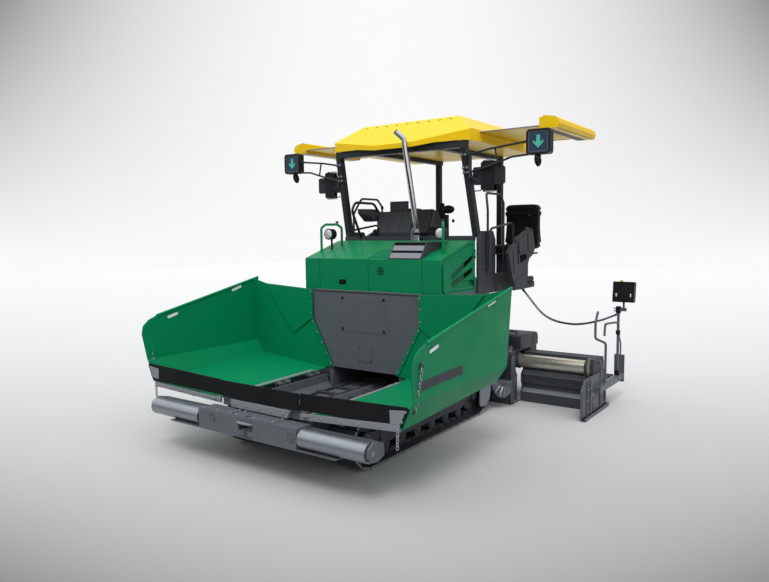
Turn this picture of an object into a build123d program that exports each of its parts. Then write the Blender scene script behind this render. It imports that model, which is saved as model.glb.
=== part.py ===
"""Tracked asphalt paver with an extending screed, as one assembly of plain sub-parts.

Units are millimetres, +Z is up, the floor is z = 0.  The hopper faces -Y, the screed +Y, and +X is the
machine's left side.  Stations along Y are measured from a datum 60 mm behind the hood's front face; the
last step moves every piece by -Y_MID, so that the origin lies at the middle of the footprint.
"""
from build123d import *
import math
import os

# ---------------------------------------------------------------- overall stations
ROLLER_AXIS_Y = -1763.0      # push roller axis
ROLLER_AXIS_Z = 420.0
ROLLER_R = 79.0
SCREED_REAR_Y = 2668.0       # rear face of the extension's rear plate
Y_FRONT = ROLLER_AXIS_Y - ROLLER_R
Y_MID = (Y_FRONT + SCREED_REAR_Y) / 2

# ---------------------------------------------------------------- clearances
RUN = 0.3                    # running gap at pins and barrels
GAP = 6.0                    # gap between moving panels
SKIN = 8.0                   # sheet steel of hopper and hood

# ---------------------------------------------------------------- tracks
TRACK_IN_X = 520.0           # inner edge of the shoes
SHOE_WIDTH = 270.0
TRACK_FRONT_Y = -1110.0      # idler centre
TRACK_REAR_Y = 900.0         # sprocket centre
TRACK_R = 250.0              # over the shoes
SHOE_THICK = 28.0
SHOE_GAP = 12.0
SHOE_COUNT = 43
CHAIN_WIDTH = 80.0
CHAIN_THICK = 37.0
BOTTOM_ROLLERS = 6
BOTTOM_ROLLER_R = 58.0
TOP_ROLLER_R = 42.0

# ---------------------------------------------------------------- main frame
FRAME_X = 500.0              # outer face of the frame's side plates
FRAME_T = 20.0
FRAME_FRONT_Y = -1500.0
FRAME_REAR_Y = 1140.0
FRAME_BOTTOM_Z = 190.0
FRAME_TOP_Z = 470.0
CONVEYOR_Z = 392.0           # top of the conveyor floor plate
CONVEYOR_T = 10.0
TROUGH_FRONT_Y = -1560.0     # front wall of the trough, behind the push bar's beam
TROUGH_SILL_Z = 517.0        # shelf over the push bar's box
TUNNEL_X = 440.0             # half width of the conveyor tunnel
TUNNEL_ROOF_Z = 609.0
SLAT_PITCH = 260.0

# ---------------------------------------------------------------- push bar
PUSH_PIN_Y = -1545.0         # upright pin that the bar swings on
PUSH_PIN_R = 24.0
TONGUE_Z = 350.0
TONGUE_T = 24.0
BAR_FRONT_Y = -1833.0
BEAM_BACK_Y = -1620.0
TOW_BORE = (10.0, -1790.0)   # (x, y) of the tow pin's bore through the jaw
TOW_BORE_R = 25.0
BRACKET_X = 1276.0           # inner face of a roller bracket
ROLLER_IN_X = 604.0

# ---------------------------------------------------------------- hopper
WING_HINGE_X = 507.0
WING_HINGE_Z = 548.0
WING_HINGE_R = 17.0
WING_HINGES_Y = (-1380.0, -860.0, -400.0)   # frame-side barrel of each hinge
HINGE_L = 60.0               # length of one barrel
WING_FRONT_Y = -1646.0
WING_BACK_Y = -72.0
WING_FLOOR_X = 1489.0        # foot of the inclined lower strip
WING_FOLD_X = 1584.0         # fold line of the outer wall
WING_TOP_X = 1632.0
WING_FOLD_Z = 812.0
FLOOR_IN_FRONT_Z = 566.0
FLOOR_IN_REAR_Z = 586.0
FLOOR_OUT_FRONT_Z = 607.0
FLOOR_OUT_REAR_Z = 682.0
WING_REAR_TOP_Z = 1543.0
WALL_LEFT_Y = -176.0         # front face of the left wing's rear wall
VEE_DEPTH = 12.0             # height of the pressed V on a rear wall
WALL_STEP = SKIN + VEE_DEPTH + GAP - 1   # the right one stands this much further back
WALL_IN_X = 697.0            # upper inner edge of the rear wall
WALL_KNEE_Z = 1125.0
WALL_FOOT_X = 419.0
WALL_TOP_IN_Z = 1442.0
WALL_TOP_OUT_Z = 1481.0
WALL_TOP_OUT_X = 1409.0
RUBBER_T = 16.0
RUBBER_TOP_Z = 775.0
RUBBER_BOTTOM_Z = 606.0
APRON_SPLIT_X = 478.0

# ---------------------------------------------------------------- bulkhead and body
BULKHEAD_Y = WALL_LEFT_Y + WALL_STEP + SKIN + GAP
BODY_FRONT_Y = -60.0
BODY_X = TRACK_IN_X + SHOE_WIDTH + 85.0
BODY_BOTTOM_Z = 640.0
HOOD_BOTTOM_Z = 1430.0
HOOD_FRONT_Z = 1777.0
HOOD_REAR_Z = 1961.0
HOOD_CREST_Y = 535.0
HOOD_REAR_Y = 660.0
DOOR_T = 20.0
DOOR_GAP = 5.0
TANK_REAR_Y = 1000.0         # rear face of the tank housings
TANK_WAIST_Z = 880.0         # below this height the housings leave room for the tow arms

# ---------------------------------------------------------------- operator platform
DECK_Z = 1450.0
DECK_T = 20.0
DECK_REAR_Y = 2100.0
DECK_X = BODY_X
SIDE_PANEL_T = 25.0
RAIL_R = 13.0

# ---------------------------------------------------------------- roof
ROOF_X = 891.0
ROOF_FRONT_Y = 400.0         # fascia at the middle
ROOF_CORNER_Y = 512.0        # fascia at the front corners
ROOF_REAR_Y = 2250.0
ROOF_UNDER_Z = 2990.0        # lower edge at the sides
ROOF_SHOULDER_Z = ROOF_UNDER_Z + 122.0
ROOF_TOP_Z = ROOF_SHOULDER_Z + 178.0
ROOF_T = 8.0
ROOF_LIP = 30.0              # drop of the fascia's middle below the side edges
BEAM_DEEP = 73.0             # roof beams
FRONT_POST = (857.0, 671.0, 2010.0)
FRONT_POST_TOP = (822.0, 520.0, ROOF_UNDER_Z - BEAM_DEEP)
REAR_POST_X = 447.0
REAR_POST_Y = 2153.0
ROOF_SLIDE = 640.0           # travel of a pull-out side panel
RAIL_Y = (730.0, 1836.0)     # front faces of a side panel's two rails
RAIL_WIDE = 20.0
RAIL_DEEP = 13.0
PANEL_Z = ROOF_UNDER_Z + 94.0   # underside of the rails

# ---------------------------------------------------------------- screed
TOW_PIN_Y = -250.0
TOW_PIN_Z = 430.0
TOW_ARM_X = TRACK_IN_X + SHOE_WIDTH + 48.0
TOW_ARM_T = 30.0
SCREED_FRONT_Y = 1544.0
SCREED_X = TOW_ARM_X + TOW_ARM_T + 32.0   # half the basic working width
SCREED_PLATE_T = 14.0
COVER_FRONT_Y = 1800.0          # cover over the screed's drives, one each side
COVER_REAR_Y = 2336.0
COVER_Z = 624.0                 # top of the screed's top plate
COVER_TOP_Z = 790.0
COVER_IN_X = 470.0
COVER_T = 12.0
GUIDE_Y = 1750.0
GUIDE_Z = 508.0
GUIDE_R = 75.0
EXT_FRONT_Y = 1786.0
EXT_REAR_Y = 2115.0
EXT_IN_X = SCREED_X + 7.0
EXT_OUT_X = EXT_IN_X + 899.0
EXT_SLIDE = 780.0            # travel of one extension
END_PLATE_T = 22.0

# ---------------------------------------------------------------- augers
AUGER_Y = 1350.0
AUGER_Z = 300.0
AUGER_R = 172.0
AUGER_SHAFT_R = 38.0
AUGER_IN_X = 75.0
AUGER_OUT_X = SCREED_X + 100.0
AUGER_PITCH = 290.0
AUGER_STEPS = 12             # flats in one turn of a flight

# ---------------------------------------------------------------- screed lift cylinders
CONSOLE_X = EXT_OUT_X + END_PLATE_T + 30.0   # console post on the slide beam
CONSOLE_Y = 2480.0
LIFT_X = 650.0
LIFT_TOP = (1050.0, 1150.0)  # (y, z) of the barrel's pin
LIFT_PIN_R = 18.0
LIFT_FOOT = (1480.0, 640.0)  # (y, z) of the rod's pin
LIFT_BARREL = 390.0
LIFT_BARREL_R = 42.0
LIFT_ROD_R = 22.0


# ---------------------------------------------------------------- console cord
CORD_R = 11.0                # outer radius of the curled cord
GLAND_R = 14.0
CORD_ROUTE = [(1075.0, 1480.0, 1372.0), (1131.0, 1571.0, 1248.0), (1218.0, 1681.0, 1086.0),
              (1327.0, 1820.0, 994.0), (1475.0, 2009.0, 946.0), (1587.0, 2151.0, 952.0),
              (1662.0, 2247.0, 968.0), (CONSOLE_X - 101.0, CONSOLE_Y - 114.0, 997.0),
              (CONSOLE_X - 25.0, CONSOLE_Y - 31.0, 1038.0)]


# ================================================================ small helpers
def block(x, y, z):
    """Box over the three (low, high) ranges."""
    size = Box(x[1] - x[0], y[1] - y[0], z[1] - z[0])
    return Pos((x[0] + x[1]) / 2, (y[0] + y[1]) / 2, (z[0] + z[1]) / 2) * size


def prism_x(points, x0, x1):
    """Outline of (y, z) points, carried along X from x0 to x1."""
    face = make_face(Polyline(*[(x0, y, z) for y, z in points], close=True))
    return extrude(face, amount=x1 - x0, dir=(1, 0, 0))


def prism_y(points, y0, y1):
    """Outline of (x, z) points, carried along Y from y0 to y1."""
    face = make_face(Polyline(*[(x, y0, z) for x, z in points], close=True))
    return extrude(face, amount=y1 - y0, dir=(0, 1, 0))


def prism_z(points, z0, z1):
    """Outline of (x, y) points, carried along Z from z0 to z1."""
    face = make_face(Polyline(*[(x, y, z0) for x, y in points], close=True))
    return extrude(face, amount=z1 - z0, dir=(0, 0, 1))


def rod(start, end, radius):
    """Round bar between two points."""
    a = Vector(*start)
    b = Vector(*end)
    plane = Plane(origin=a, z_dir=b - a)
    return extrude(plane * Circle(radius), amount=(b - a).length)


def disc(axis, centre, radius, length):
    """Cylinder that starts at centre and runs along the named axis."""
    step = {"x": (length, 0, 0), "y": (0, length, 0), "z": (0, 0, length)}[axis]
    end = tuple(c + s for c, s in zip(centre, step))
    return rod(centre, end, radius)


def bent_tube(points, radius, bend):
    """Round tube along a filleted polyline; bend is one radius or one for each corner."""
    path = FilletPolyline(*points, radius=bend)
    start = Plane(origin=path @ 0, z_dir=path % 0)
    return sweep(start * Circle(radius), path=path)


def square_bar(start, end, wide, deep):
    """Bar with level ends between two points, wide along X and deep along Y."""
    ends = [Pos(*p) * Rectangle(wide, deep) for p in (start, end)]
    return loft(ends, ruled=True)


def fuse(parts):
    """One shape from a list of shapes."""
    whole = parts[0]
    for part in parts[1:]:
        whole = whole + part
    return whole


def mirrored(shape):
    """The same shape on the machine's other side."""
    return mirror(shape, about=Plane.YZ)


def both_sides(shape):
    """A shape and its mirror image, as one compound."""
    return Compound(children=[s for half in (shape, mirrored(shape)) for s in half.solids()])


# ================================================================ tracks
def track_point(s, radius):
    """Point (y, z) and tangent angle at run s along the loop, radius out from the wheel centres."""
    straight = TRACK_REAR_Y - TRACK_FRONT_Y
    mean = TRACK_R - SHOE_THICK / 2
    arc = math.pi * mean
    s = s % (2 * straight + 2 * arc)
    if s < straight:
        return (TRACK_FRONT_Y + s, TRACK_R - radius)
    s -= straight
    if s < arc:
        a = -math.pi / 2 + s / mean
        return (TRACK_REAR_Y + radius * math.cos(a), TRACK_R + radius * math.sin(a))
    s -= arc
    if s < straight:
        return (TRACK_REAR_Y - s, TRACK_R + radius)
    s -= straight
    a = math.pi / 2 + s / mean
    return (TRACK_FRONT_Y + radius * math.cos(a), TRACK_R + radius * math.sin(a))


def stadium(radius, x0, x1):
    """Solid loop shape round both wheel centres."""
    outline = block((x0, x1), (TRACK_FRONT_Y, TRACK_REAR_Y), (TRACK_R - radius, TRACK_R + radius))
    for y in (TRACK_FRONT_Y, TRACK_REAR_Y):
        outline = outline + disc("x", (x0, y, TRACK_R), radius, x1 - x0)
    return outline


def track_loop():
    """Shoes with their gaps cut into one outline, on a narrower chain."""
    straight = TRACK_REAR_Y - TRACK_FRONT_Y
    total = 2 * straight + 2 * math.pi * (TRACK_R - SHOE_THICK / 2)
    pitch = total / SHOE_COUNT
    low = TRACK_R - SHOE_THICK + 6
    points = []
    for i in range(SHOE_COUNT):
        s = i * pitch
        points.append(track_point(s, low))
        points.append(track_point(s, TRACK_R))
        points.append(track_point(s + pitch - SHOE_GAP, TRACK_R))
        points.append(track_point(s + pitch - SHOE_GAP, low))
    x1 = TRACK_IN_X + SHOE_WIDTH
    inner = TRACK_R - SHOE_THICK
    shoes = prism_x(points, TRACK_IN_X, x1) - stadium(inner, TRACK_IN_X - 1, x1 + 1)
    mid = TRACK_IN_X + SHOE_WIDTH / 2
    chain_x = (mid - CHAIN_WIDTH / 2, mid + CHAIN_WIDTH / 2)
    chain = stadium(inner + 2, *chain_x) - stadium(inner - CHAIN_THICK, chain_x[0] - 1, chain_x[1] + 1)
    return shoes + chain


def track_frame():
    """Side frame with its idler, sprocket drum, bottom and top rollers, and the arms to the main frame."""
    mid = TRACK_IN_X + SHOE_WIDTH / 2
    bore = TRACK_R - SHOE_THICK - CHAIN_THICK - RUN
    beam_z = (150.0, 330.0)
    beam = prism_x([(-880, 160), (-820, beam_z[0]), (640, beam_z[0]), (700, 200), (700, 300),
                    (620, beam_z[1]), (-760, beam_z[1]), (-880, 300)], mid - 78, mid + 78)
    parts = [beam]
    for y, half in ((TRACK_FRONT_Y, 34), (TRACK_REAR_Y, 34)):
        parts.append(disc("x", (mid - half, y, TRACK_R), bore, 2 * half))
    for y, reach in ((TRACK_FRONT_Y, 260), (TRACK_REAR_Y, -230)):
        low, high = sorted((y, y + reach))
        parts.append(block((mid - 70, mid + 70), (low, high), (TRACK_R - 45, TRACK_R + 45)))
        parts.append(disc("x", (mid - 92, y, TRACK_R), 70, 184))
    first = TRACK_FRONT_Y + 330
    step = (TRACK_REAR_Y - TRACK_FRONT_Y - 660) / (BOTTOM_ROLLERS - 1)
    roller_z = TRACK_R - bore + BOTTOM_ROLLER_R
    for i in range(BOTTOM_ROLLERS):
        parts.append(disc("x", (mid - 66, first + i * step, roller_z), BOTTOM_ROLLER_R, 132))
    for y in (-560.0, 330.0):
        parts.append(disc("x", (mid - 45, y, TRACK_R + bore - TOP_ROLLER_R), TOP_ROLLER_R, 90))
        parts.append(block((mid - 45, mid + 45), (y - 22, y + 22), (320, TRACK_R + bore - TOP_ROLLER_R)))
    for y in (-500.0, 320.0):
        parts.append(block((FRAME_X, mid - 70), (y - 70, y + 70), (190, 310)))
    parts.append(disc("x", (FRAME_X, TRACK_REAR_Y, TRACK_R), 120, mid - 60 - FRAME_X))
    return fuse(parts)


def track_guard():
    """Rounded guard outside the rear of each track, on a lug from the side tank above it."""
    x0 = TRACK_IN_X + SHOE_WIDTH + 12
    outline = [(905, 400), (905, 130), (930, 100), (1070, 100), (1130, 150), (1164, 240), (1164, 600),
               (TANK_REAR_Y, BODY_BOTTOM_Z), (905, BODY_BOTTOM_Z)]
    return prism_x(outline, x0, x0 + 14)


# ================================================================ main frame and conveyor
def main_frame():
    """Two side plates with a belly plate and cross members, the hinge barrels and the push bar's pin."""
    side = prism_x([(FRAME_FRONT_Y, 330), (FRAME_FRONT_Y + 120, FRAME_BOTTOM_Z), (FRAME_REAR_Y, FRAME_BOTTOM_Z),
                    (FRAME_REAR_Y, FRAME_TOP_Z), (FRAME_FRONT_Y, FRAME_TOP_Z)], FRAME_X - FRAME_T, FRAME_X)
    parts = [side, mirrored(side)]
    inner = FRAME_X - FRAME_T
    parts.append(block((-inner, inner), (-1300, FRAME_REAR_Y), (FRAME_BOTTOM_Z, FRAME_BOTTOM_Z + 12)))
    for y in (-1480.0, -700.0, 100.0, 900.0):
        parts.append(block((-inner, inner), (y, y + 60), (FRAME_BOTTOM_Z + 12 if y > -1400 else 330, 370)))
    parts.append(block((-90, 90), (-1590, -1480), (330, TONGUE_Z - RUN)))
    parts.append(disc("z", (0, PUSH_PIN_Y, 330), PUSH_PIN_R, TONGUE_Z + TONGUE_T - 330))
    for y in WING_HINGES_Y:
        for side_sign in (-1, 1):
            x = side_sign * WING_HINGE_X
            parts.append(disc("y", (x, y, WING_HINGE_Z), WING_HINGE_R, HINGE_L))
            edge = side_sign * (FRAME_X - FRAME_T + RUN)
            post = sorted((edge, side_sign * (WING_HINGE_X - 2)))
            parts.append(block(post, (y, y + HINGE_L), (FRAME_TOP_Z - 1, WING_HINGE_Z)))
    return fuse(parts)


def conveyor_trough():
    """Conveyor floor, the trough's side plates and the tunnel that leads back to the augers."""
    inner = FRAME_X - FRAME_T
    floor = block((-inner, inner), (TROUGH_FRONT_Y, FRAME_REAR_Y + 10), (CONVEYOR_Z - CONVEYOR_T, CONVEYOR_Z))
    low = CONVEYOR_Z - 2
    side = prism_y([(inner, low), (inner, 535), (inner - 14, 535), (inner - 22, CONVEYOR_Z + 60),
                    (inner - 95, low)], TROUGH_FRONT_Y, WALL_LEFT_Y - VEE_DEPTH - GAP)
    wall = prism_y([(inner, low), (inner, 640), (TUNNEL_X - 8, 640), (TUNNEL_X - 8, low)],
                   BULKHEAD_Y, FRAME_REAR_Y + 10)
    roof = block((-TUNNEL_X + 6, TUNNEL_X - 6), (BODY_FRONT_Y, FRAME_REAR_Y + 10), (630, 640))
    divider = prism_y([(-36, low), (36, low), (14, CONVEYOR_Z + 42), (-14, CONVEYOR_Z + 42)],
                      TROUGH_FRONT_Y, FRAME_REAR_Y)
    y1 = WING_FRONT_Y + 2
    sill = TROUGH_SILL_Z
    top = RUBBER_BOTTOM_Z + 34
    front = prism_x([(TROUGH_FRONT_Y + 12, low), (TROUGH_FRONT_Y + 12, sill + 12), (y1 + 10, sill + 12),
                     (y1 + 10, top), (y1, top), (y1, sill), (TROUGH_FRONT_Y, sill), (TROUGH_FRONT_Y, low)],
                    -470, 470)
    front = front + block((-300, 300), (WING_FRONT_Y - RUBBER_T - 1, y1), (RUBBER_BOTTOM_Z, top))
    return fuse([floor, side, mirrored(side), wall, mirrored(wall), roof, divider, front])


def conveyor_slats():
    """Slat bars of both conveyors with the chains they hang on."""
    parts = []
    for side_sign in (-1, 1):
        for x in (90.0, 330.0):
            lo, hi = sorted((side_sign * x, side_sign * (x + 24)))
            parts.append(block((lo, hi), (TROUGH_FRONT_Y + 20, FRAME_REAR_Y - 20), (CONVEYOR_Z, CONVEYOR_Z + 22)))
        y = TROUGH_FRONT_Y + 30
        while y < FRAME_REAR_Y - 60:
            lo, hi = sorted((side_sign * 60.0, side_sign * 378.0))
            parts.append(block((lo, hi), (y, y + 34), (CONVEYOR_Z, CONVEYOR_Z + 30)))
            y += SLAT_PITCH
    return fuse(parts)


# ================================================================ hopper wings
def wing_section(y, rear):
    """Cross-section of floor, inclined strip and outer wall at one end of a wing."""
    z_in = FLOOR_IN_REAR_Z if rear else FLOOR_IN_FRONT_Z
    z_out = FLOOR_OUT_REAR_Z if rear else FLOOR_OUT_FRONT_Z
    top = WING_REAR_TOP_Z + 60
    lean = (WING_TOP_X - WING_FOLD_X) / (WING_REAR_TOP_Z - WING_FOLD_Z)
    top_x = WING_FOLD_X + lean * (top - WING_FOLD_Z)
    t = SKIN + 2
    outer = [(WING_HINGE_X + 24, z_in - t), (WING_FLOOR_X, z_out - t), (WING_FOLD_X, WING_FOLD_Z), (top_x, top)]
    inner = [(top_x - t, top), (WING_FOLD_X - t, WING_FOLD_Z), (WING_FLOOR_X - t, z_out),
             (WING_HINGE_X + 24, z_in)]
    return make_face(Polyline(*[(x, y, z) for x, z in outer + inner], close=True))


def wing_outline():
    """Side view of a wing: sloping top edge, rounded nose and raked front."""
    line = [(WING_BACK_Y, 500), (WING_BACK_Y, WING_REAR_TOP_Z), (-1500, 1241), (-1600, 1205), (-1668, 1150),
            (-1690, 1075), (WING_FRONT_Y, 800), (WING_FRONT_Y, 500)]
    return prism_x(line, WING_HINGE_X, WING_TOP_X + 60)


def wing_floor_z(y):
    """Height of the floor's inner edge at a station."""
    share = (y - WING_FRONT_Y + 80) / (WING_BACK_Y - WING_FRONT_Y + 80)
    return FLOOR_IN_FRONT_Z + share * (FLOOR_IN_REAR_Z - FLOOR_IN_FRONT_Z)


def wall_x(z):
    """Mid-thickness of the outer wall at a height."""
    lean = (WING_TOP_X - WING_FOLD_X) / (WING_REAR_TOP_Z - WING_FOLD_Z)
    return WING_FOLD_X + lean * (z - WING_FOLD_Z) - (SKIN + 2) / 2


def wing_rear_wall(y0):
    """Rear wall with its upright inner edge, slanting foot, pressed V and clamp strip."""
    top = WING_REAR_TOP_Z - 8
    outline = [(WALL_IN_X, WALL_TOP_IN_Z), (WALL_TOP_OUT_X, WALL_TOP_OUT_Z), (wall_x(top), top),
               (wall_x(WING_FOLD_Z), WING_FOLD_Z), (WING_FLOOR_X - 4, FLOOR_OUT_REAR_Z - 6),
               (WING_HINGE_X + 24, FLOOR_IN_REAR_Z - 5), (WING_HINGE_X + 24, FLOOR_IN_REAR_Z + 10),
               (WALL_FOOT_X, TUNNEL_ROOF_Z), (WALL_IN_X, WALL_KNEE_Z)]
    wall = prism_y(outline, y0, y0 + SKIN)
    vee = prism_y([(WALL_TOP_OUT_X, WALL_TOP_OUT_Z - 6), (992, 934), (WALL_IN_X + 6, WALL_KNEE_Z - 1),
                   (WALL_IN_X + 6, WALL_TOP_IN_Z - 6)], y0 - VEE_DEPTH, y0)
    strip = prism_y([(WALL_IN_X + 26, WALL_KNEE_Z - 16), (WALL_IN_X - 8, WALL_KNEE_Z - 16),
                     (WALL_FOOT_X + 2, TUNNEL_ROOF_Z + 6), (WALL_FOOT_X + 38, TUNNEL_ROOF_Z + 6)],
                    y0 - SKIN, y0)
    return fuse([wall, vee, strip])


def wing(y0):
    """One wing on the +X side; y0 is the front face of its rear wall."""
    shell = loft([wing_section(WING_FRONT_Y - 80, False), wing_section(WING_BACK_Y, True)], ruled=True)
    shell = shell & wing_outline()
    wall = wing_rear_wall(y0)
    lip = rod((WING_TOP_X - 5, WING_BACK_Y, WING_REAR_TOP_Z - 2), (WING_TOP_X - 25, -1500, 1239), 14)
    barrels = []
    for y in WING_HINGES_Y:
        for start in (y - HINGE_L - RUN, y + HINGE_L + RUN):
            barrels.append(disc("y", (WING_HINGE_X, start, WING_HINGE_Z), WING_HINGE_R, HINGE_L))
            top = wing_floor_z(start) - 4
            barrels.append(block((WING_HINGE_X + 2, WING_HINGE_X + 60), (start, start + HINGE_L),
                                 (WING_HINGE_Z - 4, top)))
    return fuse([shell, wall, lip] + barrels)


def wing_apron():
    """Rubber flap across the wing's front edge."""
    y1 = WING_FRONT_Y
    return prism_y([(APRON_SPLIT_X + 6, RUBBER_BOTTOM_Z), (1482, 618), (1550, 764), (1530, RUBBER_TOP_Z + 4),
                    (APRON_SPLIT_X + 6, RUBBER_TOP_Z - 30)], y1 - RUBBER_T, y1)


def centre_apron():
    """Rubber flap on the trough's front plate, just ahead of the wings' flaps."""
    y1 = WING_FRONT_Y - RUBBER_T - 1
    return prism_y([(-APRON_SPLIT_X, RUBBER_TOP_Z - 30), (APRON_SPLIT_X, RUBBER_TOP_Z - 30),
                    (APRON_SPLIT_X, RUBBER_BOTTOM_Z), (-APRON_SPLIT_X, RUBBER_BOTTOM_Z)], y1 - RUBBER_T, y1)


# ================================================================ push bar
def push_bar():
    """Box beam with cover plates and tow jaw, brackets for the rollers and the tongue with its pivot eye."""
    mid = block((-589, 589), (BAR_FRONT_Y, -1660), (328, 505))
    jaw = block((-75, 95), (BAR_FRONT_Y - 1, -1740), (395, 455))
    covers = [block((-560, -190), (BAR_FRONT_Y + 10, -1665), (504, 511)),
              block((-150, 330), (BAR_FRONT_Y + 10, -1665), (504, 511))]
    lip = prism_z([(-110, BAR_FRONT_Y + 1), (110, BAR_FRONT_Y + 1), (70, BAR_FRONT_Y - 8),
                   (-80, BAR_FRONT_Y - 8)], 456, 474)
    beam = block((-BRACKET_X - 24, BRACKET_X + 24), (-1662, BEAM_BACK_Y), (372, 472))
    under = block((-1000, 1000), (BAR_FRONT_Y, -1640), (328, 335))
    parts = [mid - jaw, lip, beam, under] + covers
    bracket = prism_x([(BEAM_BACK_Y, 372), (BEAM_BACK_Y, 472), (-1740, 500), (-1810, 460), (-1822, 400),
                       (-1780, 352), (-1700, 345)], BRACKET_X, BRACKET_X + 24)
    for shape in (bracket, mirrored(bracket)):
        parts.append(shape)
    neck = block((-60, 60), (-1664, PUSH_PIN_Y), (TONGUE_Z, TONGUE_Z + TONGUE_T))
    eye = disc("z", (0, PUSH_PIN_Y, TONGUE_Z), 44, TONGUE_T)
    hole = disc("z", (0, PUSH_PIN_Y, TONGUE_Z - 1), PUSH_PIN_R + RUN, TONGUE_T + 2)
    body = fuse(parts + [neck, eye]) - hole
    body = body - disc("z", (TOW_BORE[0], TOW_BORE[1], 300), TOW_BORE_R, 240)
    for x in (BRACKET_X, 589):
        seat = disc("x", (x - 20, ROLLER_AXIS_Y, ROLLER_AXIS_Z), 20 + RUN, 50)
        body = body - seat - mirrored(seat)
    return body


def push_roller():
    """Roller with stub shafts that turn in the bracket and in the box beam."""
    drum = disc("x", (ROLLER_IN_X, ROLLER_AXIS_Y, ROLLER_AXIS_Z), ROLLER_R, BRACKET_X - GAP - ROLLER_IN_X)
    shaft = disc("x", (575, ROLLER_AXIS_Y, ROLLER_AXIS_Z), 20, BRACKET_X + 24 - 575)
    return drum + shaft


# ================================================================ bulkhead and body
def bulkhead():
    """Grey plate between the wings with its hatches and the tunnel mouth below."""
    outline = [(-691, WALL_TOP_IN_Z), (691, WALL_TOP_IN_Z), (691, WALL_KNEE_Z), (TUNNEL_X - 8, 640),
               (TUNNEL_X - 8, TUNNEL_ROOF_Z), (-TUNNEL_X + 8, TUNNEL_ROOF_Z), (-TUNNEL_X + 8, 640),
               (-691, WALL_KNEE_Z)]
    return prism_y(outline, BULKHEAD_Y, BODY_FRONT_Y)


def hood_top_z(y):
    """Height of the hood's sloping top at a station."""
    slope = (HOOD_REAR_Z - HOOD_FRONT_Z) / (HOOD_CREST_Y - BODY_FRONT_Y)
    return min(HOOD_FRONT_Z + slope * (y - BODY_FRONT_Y), HOOD_REAR_Z)


def hood_outline(inset, bottom):
    """Side view of the hood, moved in by inset."""
    slope = (HOOD_REAR_Z - HOOD_FRONT_Z) / (HOOD_CREST_Y - BODY_FRONT_Y)
    return [(BODY_FRONT_Y + inset, bottom), (BODY_FRONT_Y + inset, HOOD_FRONT_Z - inset + slope * inset),
            (HOOD_CREST_Y, HOOD_REAR_Z - inset), (HOOD_REAR_Y - inset, HOOD_REAR_Z - inset),
            (HOOD_REAR_Y - inset, bottom)]


def door_outline(shrink):
    """Outline of the side door's opening, moved in by shrink."""
    y0 = -22 + shrink
    y1 = 636 - shrink
    return [(y0, HOOD_BOTTOM_Z + 20 + shrink), (y0, hood_top_z(y0) - 34 - shrink),
            (HOOD_CREST_Y - 30, hood_top_z(HOOD_CREST_Y - 30) - 34 - shrink), (y1, HOOD_REAR_Z - 40 - shrink),
            (y1, HOOD_BOTTOM_Z + 20 + shrink)]


HINGE_HEIGHTS = (1530.0, 1820.0)   # door hinge knuckles
DOOR_HINGE_Y = 644.0
DOOR_HINGE_R = 8.0


def hood():
    """Hood of sheet steel, open below, with an opening for each side door and the doors' hinge ears."""
    outer = prism_x(hood_outline(0, HOOD_BOTTOM_Z), -BODY_X, BODY_X)
    inner = prism_x(hood_outline(SKIN, HOOD_BOTTOM_Z - 1), -BODY_X + DOOR_T, BODY_X - DOOR_T)
    shell = outer - inner
    opening = prism_x(door_outline(0), BODY_X - DOOR_T - 1, BODY_X + 1)
    shell = shell - opening - mirrored(opening)
    ears = []
    for z in HINGE_HEIGHTS:
        for start in (z - 25 - RUN - 20, z + 25 + RUN):
            ear = disc("z", (BODY_X + DOOR_HINGE_R, DOOR_HINGE_Y, start), DOOR_HINGE_R, 20)
            tab = block((BODY_X, BODY_X + 2 * DOOR_HINGE_R - 4), (DOOR_HINGE_Y, DOOR_HINGE_Y + 14),
                        (start, start + 20))
            ears = ears + [ear + tab, mirrored(ear + tab)]
    loops = lamp_loop() - outer
    return fuse([shell] + ears + [loops, mirrored(loops)])


def hood_door():
    """Side door with three slanting louvres, a raised pad and its two hinge knuckles."""
    panel = prism_x(door_outline(DOOR_GAP), BODY_X - DOOR_T, BODY_X)
    for drop in (0.0, 130.0, 260.0):
        y0, y1 = 170.0, 593.0
        z0, z1 = 1570.0 - drop, 1743.0 - drop
        z0 = max(z0, HOOD_BOTTOM_Z + 60)
        slot = prism_x([(y0, z0), (y1, z1), (y1 + 22, z1 + 34), (y1, z1 + 66), (y0, z0 + 66), (y0 - 22, z0 + 32)],
                       BODY_X - 14, BODY_X + 1)
        panel = panel - slot
    pad = block((BODY_X, BODY_X + 10), (0, 120), (HOOD_BOTTOM_Z + 30, 1684))
    parts = [panel, pad]
    for z in HINGE_HEIGHTS:
        parts.append(disc("z", (BODY_X + DOOR_HINGE_R, DOOR_HINGE_Y, z - 25), DOOR_HINGE_R, 50))
        parts.append(block((BODY_X, BODY_X + 2 * DOOR_HINGE_R - 4), (DOOR_HINGE_Y - 40, DOOR_HINGE_Y),
                           (z - 25, z + 25)))
    return fuse(parts)


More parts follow.
